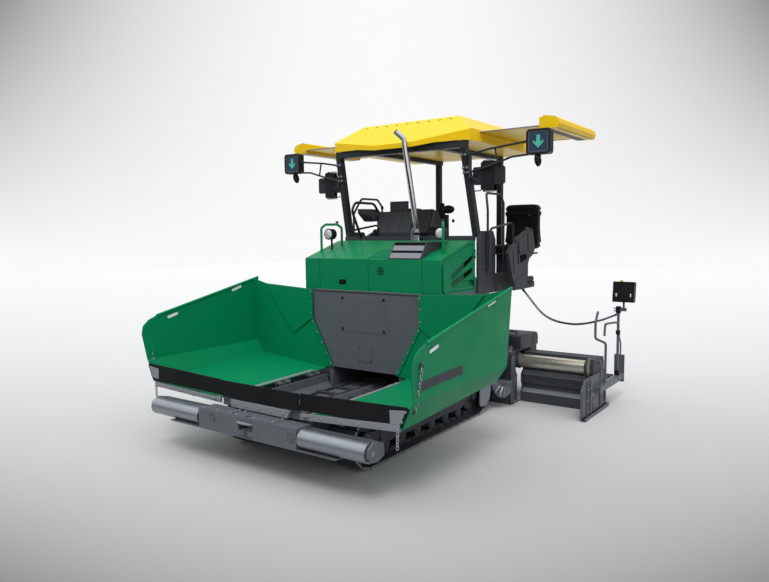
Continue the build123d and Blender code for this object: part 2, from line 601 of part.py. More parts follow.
def body_housing():
    """Tank housings over the tracks, joined behind the engine bay, with the lugs of the lift cylinders."""
    x0 = 515.0
    waist = TOW_ARM_X - GAP
    outline = [(x0, BODY_BOTTOM_Z), (waist, BODY_BOTTOM_Z), (waist, TANK_WAIST_Z), (BODY_X, TANK_WAIST_Z + 60),
               (BODY_X, HOOD_BOTTOM_Z), (x0, HOOD_BOTTOM_Z)]
    tank = prism_y(outline, BODY_FRONT_Y, TANK_REAR_Y)
    back = block((-x0 - 5, x0 + 5), (TANK_REAR_Y - 50, TANK_REAR_Y), (BODY_BOTTOM_Z, HOOD_BOTTOM_Z))
    parts = [tank, mirrored(tank), back]
    y, z = LIFT_TOP
    for side_sign in (-1, 1):
        for off in (-40, 22):
            x = side_sign * LIFT_X + off
            parts.append(block((x, x + 18), (TANK_REAR_Y - 1, y + 26), (z - 40, z + 40)))
        parts.append(disc("x", (side_sign * LIFT_X - 30, *LIFT_TOP), LIFT_PIN_R, 60))
    return fuse(parts)


def engine():
    """Engine as one plain block on its bearers."""
    block_body = block((-330, 330), (60, 600), (700, 1640))
    bearer = block((-515, 515), (250, 330), (640, 701))
    return block_body + bearer


def intake_cap():
    """Dark air inlet on the hood with a slanting slatted face."""
    x0, x1 = 250.0, 645.0
    top = 1952.0
    crest = BODY_FRONT_Y + (top - HOOD_FRONT_Z) * (HOOD_CREST_Y - BODY_FRONT_Y) / (HOOD_REAR_Z - HOOD_FRONT_Z)
    outline = [(-50, hood_top_z(-50)), (80, top), (crest, top)]
    body = prism_x(outline, x0, x1)
    return body


def lamp_loop():
    """Bent tube that stands on the hood and guards the work lamp."""
    feet = [(797, 131, hood_top_z(131) - 20), (797, 131, 2110), (770, 175, 2150), (697, 297, 2150),
            (670, 341, 2110), (670, 341, hood_top_z(341) - 20)]
    return bent_tube(feet, 14, 30)


def work_lamp():
    """Round work lamp on its stalk from the loop."""
    stem = disc("z", (733, 236, hood_top_z(236) - 20), 12, 2060 - hood_top_z(236))
    stem = stem - prism_x(hood_outline(0, HOOD_BOTTOM_Z), -BODY_X, BODY_X)
    body = disc("y", (733, 176, 2040), 60, 80)
    return stem + body


def exhaust_pipe():
    """Chrome pipe that leans forward with the roof posts and bends at its mouth."""
    r = 31.0
    pts = [(210, 560, HOOD_REAR_Z), (210, 560, 2080), (205, 330, 3035), (150, 250, 3112)]
    pipe = bent_tube(pts, r, [90, 70])
    collar = disc("z", (210, 560, HOOD_REAR_Z), 44, 40)
    return pipe + collar


# ================================================================ operator platform
def deck():
    """Platform floor with the risers below it and its cross rail in front."""
    floor = block((-DECK_X, DECK_X), (HOOD_REAR_Y + 2, DECK_REAR_Y), (DECK_Z - DECK_T, DECK_Z))
    rail = block((-DECK_X + 20, DECK_X - 20), (HOOD_REAR_Y + 2, HOOD_REAR_Y + 52), (1960, 2010))
    posts = [block((x, x + 40), (HOOD_REAR_Y + 2, HOOD_REAR_Y + 42), (DECK_Z, 1960)) for x in (-855, -20, 815)]
    ribs = [block((x, x + 30), (TANK_REAR_Y, DECK_REAR_Y - 60), (DECK_Z - 110, DECK_Z - DECK_T)) for x in (-700, 670)]
    return fuse([floor, rail] + posts + ribs)


def side_panel():
    """Upright panel at the platform's front corner with the lower side box behind it."""
    x0 = DECK_X
    tall = prism_x([(690, 1400), (690, 2000), (760, 2060), (1040, 2060), (1100, 1960), (1100, 1400)],
                   x0, x0 + SIDE_PANEL_T)
    low = prism_x([(1100, 1400), (1100, 1590), (1457, 1590), (1457, 1400)], x0, x0 + SIDE_PANEL_T + 20)
    return tall + low


def dashboard():
    """Console with its column, display and joystick unit."""
    column = prism_x([(900, DECK_Z), (860, 2050), (960, 2300), (1000, 2300), (1090, 2120), (1060, DECK_Z)],
                     -520, 165)
    head = prism_x([(890, 2110), (965, 2302), (1000, 2302), (1110, 2150), (1090, 2100)], -570, 215)
    display = block((-420, -180), (960, 1000), (2302, 2420))
    return fuse([column, head, display])


def seat_frame():
    """Pedestal, the moulded side shell and the bracket below it."""
    pedestal = block((700, 960), (1560, 1860), (DECK_Z, 1780))
    pan = block((640, 1040), (1480, 1960), (1780, 1800))
    shell = prism_x([(1010, 1820), (1100, 1890), (1210, 1900), (1240, 1980), (1340, 2000), (1500, 2060),
                     (1660, 2080), (1740, 1880), (1680, 1780), (1580, 1740), (1490, 1600), (1510, 1470),
                     (1500, 1400), (1180, 1400), (1130, 1520)], 1054, 1096)
    arm = block((950, 1060), (1600, 1640), (1700, 1760))
    start = Vector(*CORD_ROUTE[0])
    run = (Vector(*CORD_ROUTE[1]) - start).normalized()
    gland = rod(tuple(start - run * 40), tuple(start), GLAND_R)
    return fuse([pedestal, pan, shell, arm, gland])


def seat_cushion():
    """Seat cushion and ribbed backrest of black padding."""
    base = block((650, 1030), (1490, 1940), (1800.3, 1900))
    back = prism_x([(1935, 1835), (1935, 2310), (1965, 2375), (2030, 2375), (2060, 2300), (2060, 1835)],
                   613, 1052)
    return base + back


def grab_rail():
    """Two tube loops on the outside of the platform."""
    x0 = DECK_X + SIDE_PANEL_T + RAIL_R
    front = bent_tube([(x0, 880, 1600), (x0, 880, 2280), (x0 - 60, 960, 2470), (x0 - 60, 1300, 2470),
                       (x0 - 60, 1400, 2380), (x0 - 60, 1400, DECK_Z)], RAIL_R, 60)
    rear = bent_tube([(x0 + 30, 864, 1640), (x0 + 30, 864, 2080), (x0 + 30, 1465, 2155),
                      (x0 + 30, 1465, 1520)], RAIL_R, 80)
    stubs = [rod((DECK_X + 10, 864, 1660), (x0 + 30, 864, 1660), 10),
             rod((DECK_X + 10, 1440, 1545), (x0 + 30, 1465, 1545), 10)]
    return fuse([front, rear] + stubs)


# ================================================================ roof
def roof_posts():
    """Leaning front posts, the beam between their tops and the upright rear posts."""
    front = square_bar((FRONT_POST[0], FRONT_POST[1] + 60, FRONT_POST[2]), FRONT_POST_TOP, 62, 80)
    foot = block((820, DECK_X), (690, 790), (FRONT_POST[2] - 20, FRONT_POST[2] + 0.5))
    low = ROOF_UNDER_Z - BEAM_DEEP
    beam = block((-FRONT_POST_TOP[0] - 31, FRONT_POST_TOP[0] + 31), (480, 560), (low, ROOF_UNDER_Z))
    rear = block((REAR_POST_X - 32, REAR_POST_X + 32), (REAR_POST_Y - 32, REAR_POST_Y + 32),
                 (DECK_Z - DECK_T, ROOF_UNDER_Z))
    shelf = block((REAR_POST_X - 50, REAR_POST_X + 50), (DECK_REAR_Y, REAR_POST_Y + 32), (DECK_Z - 60, DECK_Z - DECK_T))
    side = block((400, 470), (560, REAR_POST_Y + 32), (ROOF_UNDER_Z - 50, ROOF_UNDER_Z))
    return fuse([front, mirrored(front), beam, rear, mirrored(rear), shelf, mirrored(shelf), side,
                 mirrored(side), foot, mirrored(foot)])


def roof_form(inset):
    """Closed roof shape moved in by inset: hipped front view, raked side view and a fascia that bows forward."""
    under = ROOF_UNDER_Z + inset
    front = prism_y([(-ROOF_X + inset, under), (-ROOF_X + inset, ROOF_SHOULDER_Z - inset),
                     (-635, ROOF_TOP_Z - inset), (635, ROOF_TOP_Z - inset),
                     (ROOF_X - inset, ROOF_SHOULDER_Z - inset), (ROOF_X - inset, under)], 300, ROOF_REAR_Y)
    side = prism_x([(ROOF_FRONT_Y, under), (ROOF_FRONT_Y, ROOF_UNDER_Z + 22 - 1.3 * inset), (742, ROOF_TOP_Z - inset),
                    (2150, ROOF_TOP_Z - inset), (ROOF_REAR_Y - inset, ROOF_TOP_Z - 90),
                    (ROOF_REAR_Y - inset, under)], -ROOF_X, ROOF_X)
    bow = prism_z([(-ROOF_X, ROOF_CORNER_Y + inset), (-250, ROOF_FRONT_Y + inset), (250, ROOF_FRONT_Y + inset),
                   (ROOF_X, ROOF_CORNER_Y + inset), (ROOF_X, ROOF_REAR_Y), (-ROOF_X, ROOF_REAR_Y)],
                  ROOF_UNDER_Z - 100, ROOF_TOP_Z + 1)
    return front & side & bow


def roof_shell():
    """Yellow roof, hollow, with its deeper fascia and a slot at each side for the pull-out panel."""
    shell = roof_form(0) - roof_form(ROOF_T)
    turn = ROOF_FRONT_Y + (530 - 250) * (ROOF_CORNER_Y - ROOF_FRONT_Y) / (ROOF_X - 250)
    strip = prism_z([(-530, turn), (-250, ROOF_FRONT_Y), (250, ROOF_FRONT_Y), (530, turn), (530, turn + ROOF_T),
                     (250, ROOF_FRONT_Y + ROOF_T), (-250, ROOF_FRONT_Y + ROOF_T), (-530, turn + ROOF_T)],
                    ROOF_UNDER_Z - ROOF_LIP - 1, ROOF_UNDER_Z + 2)
    lip = prism_y([(-530, ROOF_UNDER_Z + 2), (-250, ROOF_UNDER_Z - ROOF_LIP), (250, ROOF_UNDER_Z - ROOF_LIP),
                   (530, ROOF_UNDER_Z + 2)], 300, ROOF_CORNER_Y)
    slot = block((ROOF_X - 60, ROOF_X + 1), (RAIL_Y[0] - RUN, RAIL_Y[1] + RAIL_WIDE + RUN),
                 (PANEL_Z - RUN, PANEL_Z + RAIL_DEEP + RUN))
    return (shell + (strip & lip)) - slot - mirrored(slot)


def roof_panel():
    """Pull-out side panel: two rails with a sheet between them and the crowned yellow end piece."""
    x0 = ROOF_X - 220
    x1 = 1541.0
    sheet = block((x0, x1), (RAIL_Y[0] + RAIL_WIDE, RAIL_Y[1]), (PANEL_Z + 4, PANEL_Z + 8))
    rails = [block((x0, x1 + 1), (y, y + RAIL_WIDE), (PANEL_Z, PANEL_Z + RAIL_DEEP)) for y in RAIL_Y]
    low = PANEL_Z - 24
    end = prism_y([(x1, low), (x1, low + 110), (x1 + 59, low + 130), (x1 + 159, low + 112), (x1 + 199, low + 84),
                   (x1 + 209, low + 40), (x1 + 189, low)], RAIL_Y[0] + 6, RAIL_Y[1] + 14)
    return fuse([sheet, end] + rails)


def signal_arms():
    """Tube arms that carry the signal box and the mirror, from the front post."""
    post = FRONT_POST_TOP[0] + 20
    upper = bent_tube([(post, 540, 2840), (1100, 545, 2885), (1500, 572, 2930)], 11, 200)
    lower = bent_tube([(post, 565, 2660), (1080, 565, 2715), (1330, 568, 2790), (1500, 572, 2800)], 11, 120)
    strut = rod((1180, 560, 2745), (1150, 560, 2893), 9)
    return fuse([upper, lower, strut])


def signal_box():
    """Framed signal light with its lamp below."""
    box = RectangleRounded(245, 240, 32)
    return extrude(Plane(origin=(1612.5, 632, 2915), z_dir=(0, -1, 0)) * box, amount=80)


def signal_lens():
    """Lens on the signal box's front."""
    return block((1508, 1717), (545, 552), (2813, 3017))


def mirror_head():
    """Rear-view mirror housing on a short tube from the lower arm."""
    face = Plane(origin=(1054, 640, 2625), z_dir=(0, -1, 0)) * RectangleRounded(184, 350, 26)
    head = extrude(face, amount=40)
    arm = rod((1054, 566, 2706), (1054, 602, 2706), 9)
    return head + arm


# ================================================================ augers
def auger_flight(x0, x1):
    """Helical flight of flat facets about the auger's axis."""
    turns = (x1 - x0 - 14) / AUGER_PITCH
    steps = int(turns * AUGER_STEPS)
    rows = []
    for i in range(steps + 1):
        a = 2 * math.pi * i / AUGER_STEPS
        x = x0 + i * AUGER_PITCH / AUGER_STEPS
        rows.append([(x + dx, AUGER_Y + r * math.cos(a), AUGER_Z + r * math.sin(a))
                     for r, dx in ((AUGER_SHAFT_R - 8, 0), (AUGER_R, 0), (AUGER_R, 12), (AUGER_SHAFT_R - 8, 12))])
    faces = [make_face(Polyline(*rows[0], close=True)), make_face(Polyline(*rows[-1], close=True))]
    for near, far in zip(rows, rows[1:]):
        for k in range(4):
            a, b = near[k], near[(k + 1) % 4]
            c, d = far[(k + 1) % 4], far[k]
            faces.append(make_face(Polyline(a, b, c, close=True)))
            faces.append(make_face(Polyline(a, c, d, close=True)))
    return Solid(Shell(faces))


def auger():
    """Auger half: shaft and flight."""
    shaft = disc("x", (AUGER_IN_X, AUGER_Y, AUGER_Z), AUGER_SHAFT_R, AUGER_OUT_X - AUGER_IN_X)
    return shaft + auger_flight(AUGER_IN_X + 15, AUGER_OUT_X)


def auger_carrier():
    """Cross beam behind the conveyors with the drive box between the two augers."""
    beam = block((-480, 480), (FRAME_REAR_Y + 10, FRAME_REAR_Y + 110), (530, 640))
    drive = block((-AUGER_IN_X + RUN, AUGER_IN_X - RUN), (AUGER_Y - 70, AUGER_Y + 70), (230, 600))
    link = block((-60, 60), (FRAME_REAR_Y + 110, AUGER_Y - 70), (540, 600))
    return fuse([beam, drive, link])


# ================================================================ screed
def tow_arm():
    """Long arm from the tow point past the track to the screed."""
    x0 = TOW_ARM_X
    clear = AUGER_Z + AUGER_R + 2 * GAP
    arm = prism_x([(TOW_PIN_Y - 70, 380), (TOW_PIN_Y - 70, 480), (400, 560), (1100, 640), (1560, 700),
                   (1640, 690), (1640, 602), (1550, 540), (AUGER_Y + AUGER_R, clear),
                   (AUGER_Y - AUGER_R - 20, clear), (AUGER_Y - AUGER_R - 100, 450), (700, 430), (100, 370)],
                  x0, x0 + TOW_ARM_T)
    return arm - disc("x", (x0 - 1, TOW_PIN_Y, TOW_PIN_Z), 25 + RUN, TOW_ARM_T + 2)


def tow_pin():
    """Tow point pin on its bracket from the side tank."""
    x0 = TOW_ARM_X
    pin = disc("x", (x0 - 20, TOW_PIN_Y, TOW_PIN_Z), 25, TOW_ARM_T + 30)
    plate = prism_x([(TOW_PIN_Y - 60, 370), (TOW_PIN_Y + 60, 370), (60, 500), (60, BODY_BOTTOM_Z),
                     (BODY_FRONT_Y, BODY_BOTTOM_Z), (BODY_FRONT_Y, 560), (TOW_PIN_Y - 60, 520)], x0 - 24, x0 - 8)
    return pin + plate


def screed_base():
    """Basic screed: front wall, housing, guide tube housings, end plates and smoothing plate."""
    parts = [block((-SCREED_X, SCREED_X), (SCREED_FRONT_Y, EXT_FRONT_Y - 6), (0, SCREED_PLATE_T)),
             prism_x([(SCREED_FRONT_Y, SCREED_PLATE_T), (SCREED_FRONT_Y, 60), (SCREED_FRONT_Y + 16, 90),
                      (SCREED_FRONT_Y + 16, 600), (1650, 640), (1660, 400), (1700, 330), (1700, SCREED_PLATE_T)],
                     -SCREED_X, SCREED_X)]
    sleeve = disc("x", (-SCREED_X, GUIDE_Y, GUIDE_Z), GUIDE_R + 18, 2 * SCREED_X)
    parts.append(sleeve)
    parts.append(block((-SCREED_X, SCREED_X), (1640, GUIDE_Y), (GUIDE_Z + 40, GUIDE_Z + GUIDE_R + 18)))
    cover = block((-SCREED_X, SCREED_X), (1650, 2125), (612, 624))
    parts.append(cover)
    parts.append(block((-90, 90), (1660, 2125), (330, 612)))
    parts.append(block((-90, 90), (2125, 2480), (330, 352)))
    parts.append(block((-SCREED_X + 20, SCREED_X - 20), (2128, 2480), (334, 350)))
    body = fuse(parts)
    bore = disc("x", (-SCREED_X - 1, GUIDE_Y, GUIDE_Z), GUIDE_R + RUN, SCREED_X - 60)
    body = body - bore - mirrored(bore)
    for side_sign in (-1, 1):
        for off in (-40, 22):
            x = side_sign * LIFT_X + off
            y, z = LIFT_FOOT
            body = body + block((x, x + 18), (y - 26, SCREED_FRONT_Y + 20), (z - 34, z + 34))
        body = body + block(sorted((side_sign * LIFT_X - 45, side_sign * LIFT_X + 45)),
                            (SCREED_FRONT_Y + 10, 1650), (560, LIFT_FOOT[1] + 34))
    return body


def drive_cover():
    """Sheet cover over one side's drives, on the screed's top plate, with a rounded top and open below."""
    rear = COVER_REAR_Y
    outer = [(COVER_FRONT_Y, COVER_Z), (COVER_FRONT_Y, COVER_TOP_Z - 45), (COVER_FRONT_Y + 12, COVER_TOP_Z - 14),
             (COVER_FRONT_Y + 45, COVER_TOP_Z), (rear - 91, COVER_TOP_Z), (rear - 46, COVER_TOP_Z - 8),
             (rear - 14, COVER_TOP_Z - 34), (rear, COVER_TOP_Z - 75), (rear, COVER_Z)]
    t = COVER_T
    inner = [(COVER_FRONT_Y + t, COVER_Z - 1), (COVER_FRONT_Y + t, COVER_TOP_Z - 45), (COVER_FRONT_Y + 50, COVER_TOP_Z - t),
             (rear - 91, COVER_TOP_Z - t), (rear - t, COVER_TOP_Z - 79), (rear - t, COVER_Z - 1)]
    return (prism_x(outer, COVER_IN_X, SCREED_X - 1)
            - prism_x(inner, COVER_IN_X + t, SCREED_X - 1 - t))


def extension():
    """Extension: body with its stepped front, guide tube with end disc, rear footboard."""
    outline = [(EXT_FRONT_Y, SCREED_PLATE_T), (EXT_FRONT_Y, 120), (EXT_FRONT_Y + 30, 150),
               (EXT_FRONT_Y + 30, 210), (EXT_FRONT_Y + 8, 230), (EXT_FRONT_Y + 8, 330),
               (EXT_FRONT_Y + 60, 380), (1870, 400), (1900, 590), (2090, 590), (EXT_REAR_Y, 520),
               (EXT_REAR_Y, 60), (EXT_REAR_Y - 20, SCREED_PLATE_T)]
    body = prism_x(outline, EXT_IN_X, EXT_OUT_X)
    plate = block((EXT_IN_X, EXT_OUT_X), (EXT_FRONT_Y, EXT_REAR_Y - 20), (0, SCREED_PLATE_T))
    tube = disc("x", (EXT_IN_X - 40, GUIDE_Y, GUIDE_Z), GUIDE_R, 1737 - EXT_IN_X + 40)
    head = disc("x", (1737, GUIDE_Y, GUIDE_Z), 110, 26)
    web = prism_x([(GUIDE_Y, 440), (GUIDE_Y, 600), (1900, 600), (2000, 560), (2000, 300), (1830, 300)],
                  1763, EXT_OUT_X)
    board = block((EXT_IN_X + 20, EXT_OUT_X), (EXT_REAR_Y, 2500), (286, 302))
    return fuse([body, plate, tube, head, web, board])


def end_plate():
    """End plate with skid, ribs, slide beam and rear plate."""
    x0 = EXT_OUT_X
    x1 = x0 + END_PLATE_T
    plate = prism_x([(1311, 30), (1330, 12), (2115, 12), (2160, 60), (2115, 433), (1420, 433), (1311, 330)], x0, x1)
    skid = prism_x([(1300, 24), (1330, 0), (2130, 0), (2150, 24), (2150, 34), (1300, 34)], x0 - 30, x1 + 40)
    skid = skid - block((x0 - 31, EXT_OUT_X), (1250, 2200), (-1, 50))
    ribs = [block((x1, x1 + 24), (y, y + 14), (34, 420)) for y in (1420, 1520)]
    beam = block((x1, x1 + 60), (1708, SCREED_REAR_Y - 12), (232, 300))
    rear = block((x1 - 60, x1 + 62), (SCREED_REAR_Y - 12, SCREED_REAR_Y), (188, 523))
    return fuse([plate, skid] + ribs + [beam, rear])


def extension_posts():
    """S-shaped handle and the console post with the clamp arm on it."""
    x0 = EXT_OUT_X + END_PLATE_T
    handle = bent_tube([(x0 + 30, 2000, 298), (x0 + 30, 2000, 760), (x0 - 60, 1900, 820), (x0 - 60, 1900, 1000),
                        (x0 - 60, 1980, 1120)], 14, 40)
    post = disc("z", (CONSOLE_X, CONSOLE_Y, 298), 16, 830)
    arm = block((CONSOLE_X - 30, CONSOLE_X + 90), (CONSOLE_Y - 20, CONSOLE_Y + 20), (1085, 1125))
    stem = disc("z", (CONSOLE_X + 60, CONSOLE_Y, 1100), 12, 95)
    end = Vector(*CORD_ROUTE[-1])
    run = (end - Vector(*CORD_ROUTE[-2])).normalized()
    gland = rod(tuple(end), tuple(end + run * 42), GLAND_R)
    return fuse([handle, post, arm, stem, gland])


def remote_console():
    """Remote console, a keypad box that leans back on its stem."""
    top = CONSOLE_X + 60
    return prism_x([(CONSOLE_Y - 40, 1195), (CONSOLE_Y + 30, 1195), (CONSOLE_Y + 60, 1425),
                    (CONSOLE_Y - 10, 1440)], top - 125, top + 125)


def lift_parts():
    """Barrel and rod of a screed lift cylinder, between its two pins."""
    a = Vector(LIFT_X, *LIFT_TOP)
    b = Vector(LIFT_X, *LIFT_FOOT)
    run = (b - a).normalized()
    half = 21.0
    pin = disc("x", (LIFT_X - 60, *LIFT_TOP), LIFT_PIN_R + RUN, 120)
    eye = disc("x", (LIFT_X - half, *LIFT_TOP), 34, 2 * half)
    barrel = rod(tuple(a + run * 20), tuple(a + run * 70), half) + eye
    barrel = barrel + rod(tuple(a + run * 60), tuple(a + run * LIFT_BARREL), LIFT_BARREL_R)
    barrel = barrel - pin
    barrel = barrel - rod(tuple(a + run * 80), tuple(a + run * (LIFT_BARREL + 1)), LIFT_ROD_R + RUN)
    shaft = rod(tuple(a + run * 320), tuple(b - run * 20), LIFT_ROD_R)
    foot = disc("x", (LIFT_X - half, *LIFT_FOOT), 34, 2 * half)
    return barrel, shaft + foot


# ================================================================ cord
def console_cord():
    """Curly cord from the seat bracket to the console post, as one tube of its outer diameter."""
    points = [Vector(*p) for p in CORD_ROUTE]
    radii = []
    for before, here, after in zip(points, points[1:], points[2:]):
        run_in = here - before
        run_out = after - here
        turn = math.radians(run_in.get_angle(run_out))
        radii.append(0.45 * min(run_in.length, run_out.length) / math.tan(turn / 2))
    print("cord radii", [round(r) for r in radii])
    return bent_tube(CORD_ROUTE, CORD_R, radii)


# ================================================================ assembly
NODES = {}


def add(name, shape):
    """Keep a shape under its node's name."""
    NODES[name] = shape


def add_pair(name, shape):
    """Keep a left-hand shape and its mirror image as two nodes."""
    NODES[name + "_left"] = shape
    NODES[name + "_right"] = mirrored(shape)


add("main_frame", main_frame())
trough = conveyor_trough()
add("conveyor_trough", trough)
add("conveyor_slats", conveyor_slats() - trough)
add_pair("track", track_loop())
add("track_frames", both_sides(track_frame()))
add("tow_points", Compound(children=both_sides(track_guard()).solids() + both_sides(tow_pin()).solids()))
add("body_housing", body_housing())
add("engine_block", engine())
add("bulkhead", bulkhead())
add("hood", hood())
add_pair("hood_door", hood_door())
add("intake_cap", intake_cap())
add("work_lamps", both_sides(work_lamp()))
add("exhaust_pipe", exhaust_pipe())
add("wing_left", wing(WALL_LEFT_Y))
add("wing_right", mirrored(wing(WALL_LEFT_Y + WALL_STEP)))
add_pair("apron", wing_apron())
add("apron_centre", centre_apron())
add("push_bar", push_bar())
add_pair("push_roller", push_roller())
platform = deck()
add("platform_deck", platform)
panel = side_panel() + grab_rail()
add("side_panels", both_sides(panel))
add("dashboard", dashboard())
add("seat_frames", both_sides(seat_frame()))
add("seat_cushions", both_sides(seat_cushion()))
posts = roof_posts() - platform - panel - mirrored(panel)
add("roof_posts", posts)
add("roof_shell", roof_shell())
add_pair("roof_panel", roof_panel())
light = signal_box()
add("signal_arms", both_sides((signal_arms() + mirror_head()) - light - posts))
add("signal_boxes", both_sides(light))
add("signal_lenses", both_sides(signal_lens()))
add_pair("auger", auger())
add("auger_carrier", auger_carrier())
base = screed_base()
add("screed_base", base)
add("tow_arms", both_sides(tow_arm() - base))
add("drive_covers", both_sides(drive_cover()))
add_pair("extension", extension())
add_pair("end_plate", end_plate() + extension_posts())
add_pair("remote_console", remote_console())
add("console_cord", console_cord())
barrel, shaft = lift_parts()
add_pair("lift_barrel", barrel)
add_pair("lift_rod", shaft)

os.makedirs("parts", exist_ok=True)
for name, shape in NODES.items():
    moved = Pos(0, -Y_MID, 0) * shape
    export_step(moved, f"parts/{name}.step")
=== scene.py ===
"""Finishes and fine pieces of the tracked asphalt paver.

A place on the machine is written in millimetres, as on its drawing: +X is the machine's left side, the hopper
faces -Y, and stations along Y start at the drawing's datum.  `piece` brings the finished arrays into the frame.
"""
import math
import bmesh
import bpy
import numpy as np
from mathutils import Matrix, Vector
from mathutils.geometry import delaunay_2d_cdt


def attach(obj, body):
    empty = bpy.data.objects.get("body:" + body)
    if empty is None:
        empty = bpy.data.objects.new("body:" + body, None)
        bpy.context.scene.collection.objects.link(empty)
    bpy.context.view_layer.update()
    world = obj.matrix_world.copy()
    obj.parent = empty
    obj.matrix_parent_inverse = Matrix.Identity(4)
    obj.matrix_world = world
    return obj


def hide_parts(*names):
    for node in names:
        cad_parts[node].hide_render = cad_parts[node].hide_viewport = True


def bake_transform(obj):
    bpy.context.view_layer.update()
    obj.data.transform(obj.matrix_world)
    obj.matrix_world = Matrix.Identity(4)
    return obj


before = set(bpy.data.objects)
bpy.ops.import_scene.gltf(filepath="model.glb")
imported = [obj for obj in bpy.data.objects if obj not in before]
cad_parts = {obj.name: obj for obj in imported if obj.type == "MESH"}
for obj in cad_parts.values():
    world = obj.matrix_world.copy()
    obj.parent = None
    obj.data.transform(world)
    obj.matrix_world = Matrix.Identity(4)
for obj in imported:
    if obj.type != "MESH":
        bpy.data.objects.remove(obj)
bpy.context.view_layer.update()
DATUM_Y = 413.0              # the frame's origin lies this far behind the drawing's datum
BOTH = ((1, "left"), (-1, "right"))
SIGNS = (1, -1)


def at(points):
    """Drawing millimetres as frame metres: subtract the datum's offset and divide by 1000."""
    return (np.asarray(points, float) - (0.0, DATUM_Y, 0.0)) / 1000.0


# ---------------------------------------------------------------- surfaces
def skin(grid, close_u=False, close_v=True, caps=True):
    """Quads over a grid of points; an open first direction gets a flat cap at each end."""
    n, m = grid.shape[:2]
    index = np.arange(n * m).reshape(n, m)
    u = index if close_u else index[:-1]
    u_next = np.roll(index, -1, 0) if close_u else index[1:]
    if close_v:
        v, v_next = u, np.roll(u, -1, 1)
        w, w_next = u_next, np.roll(u_next, -1, 1)
    else:
        v, v_next = u[:, :-1], u[:, 1:]
        w, w_next = u_next[:, :-1], u_next[:, 1:]
    faces = np.stack([v, v_next, w_next, w], -1).reshape(-1, 4).tolist()
    if caps and close_v and not close_u:
        faces.append(index[0][::-1].tolist())
        faces.append(index[-1].tolist())
    return grid.reshape(-1, 3), faces


def unit(vectors):
    """Vectors divided by their lengths."""
    return vectors / np.maximum(np.linalg.norm(vectors, axis=-1, keepdims=True), 1e-9)


def sweep(path, section, up=(0, 0, 1), close=False):
    """A section carried along a path: point = path + a * side + b * over, with side = run x up."""
    path = np.asarray(path, float)
    run = np.roll(path, -1, 0) - np.roll(path, 1, 0) if close else np.gradient(path, axis=0)
    side = unit(np.cross(unit(run), up))
    over = np.cross(side, unit(run))
    section = np.asarray(section, float)
    ring = path[:, None] + section[None, :, :1] * side[:, None] + section[None, :, 1:] * over[:, None]
    return skin(ring, close_u=close)


def circle(radius, sides=16, turn=0.0):
    """Points (r cos a, r sin a) at equal steps of a."""
    a = np.arange(sides) * 2 * math.pi / sides + turn
    return np.stack([radius * np.cos(a), radius * np.sin(a)], -1)


def rounded(points, radius, steps=5):
    """A path whose corners are turned by arcs: quadratic curves between points set back by the radius."""
    p = np.asarray(points, float)
    back = unit(p[:-2] - p[1:-1]) * radius
    ahead = unit(p[2:] - p[1:-1]) * radius
    t = np.linspace(0, 1, steps)[None, :, None]
    a, b, c = (p[1:-1] + back)[:, None], p[1:-1][:, None], (p[1:-1] + ahead)[:, None]
    arcs = (1 - t) ** 2 * a + 2 * t * (1 - t) * b + t ** 2 * c
    return np.concatenate([p[:1], arcs.reshape(-1, p.shape[1]), p[-1:]])


def tube(points, radius, bend=20.0, up=(0, 0, 1), sides=14):
    """Round tube along straight runs with turned corners."""
    path = rounded(points, bend) if len(points) > 2 else np.asarray(points, float)
    return sweep(path, circle(radius, sides), up)


AXES = {"x": (1, 2, 0), "y": (0, 2, 1), "z": (0, 1, 2)}


def lathe(profile, centre, axis="z", sides=24, turn=0.0):
    """Surface of revolution: (r cos a, r sin a, h) for each (r, h) of the profile, about the named axis."""
    profile = np.asarray(profile, float)
    ring = circle(1.0, sides, turn)
    grid = np.empty((len(profile), sides, 3))
    i, j, k = AXES[axis]
    grid[..., i] = profile[:, :1] * ring[:, 0]
    grid[..., j] = profile[:, :1] * ring[:, 1]
    grid[..., k] = profile[:, 1:]
    return skin(grid + np.asarray(centre, float))


def rounded_box(width, height, radius, steps=4):
    """Outline of a rectangle with quarter-circle corners, centred on its origin."""
    a = np.linspace(0, math.pi / 2, steps)
    quarter = np.stack([np.cos(a), np.sin(a)], -1) * radius
    corners = [(width / 2 - radius, height / 2 - radius, 0), (-width / 2 + radius, height / 2 - radius, 1),
               (-width / 2 + radius, -height / 2 + radius, 2), (width / 2 - radius, -height / 2 + radius, 3)]
    turned = [quarter @ np.array([[math.cos(q * math.pi / 2), math.sin(q * math.pi / 2)],
                                  [-math.sin(q * math.pi / 2), math.cos(q * math.pi / 2)]]) + (x, y)
              for x, y, q in corners]
    return np.concatenate(turned)


def encloses(loop, spot):
    """Whether a spot lies in a loop: a line from it to one side crosses an odd number of the loop's runs."""
    ahead = np.roll(loop, -1, 0)
    across = (loop[:, 1] > spot[1]) != (ahead[:, 1] > spot[1])
    a, b = loop[across], ahead[across]
    return ((a[:, 0] + (spot[1] - a[:, 1]) / (b[:, 1] - a[:, 1]) * (b[:, 0] - a[:, 0])) > spot[0]).sum() % 2 == 1


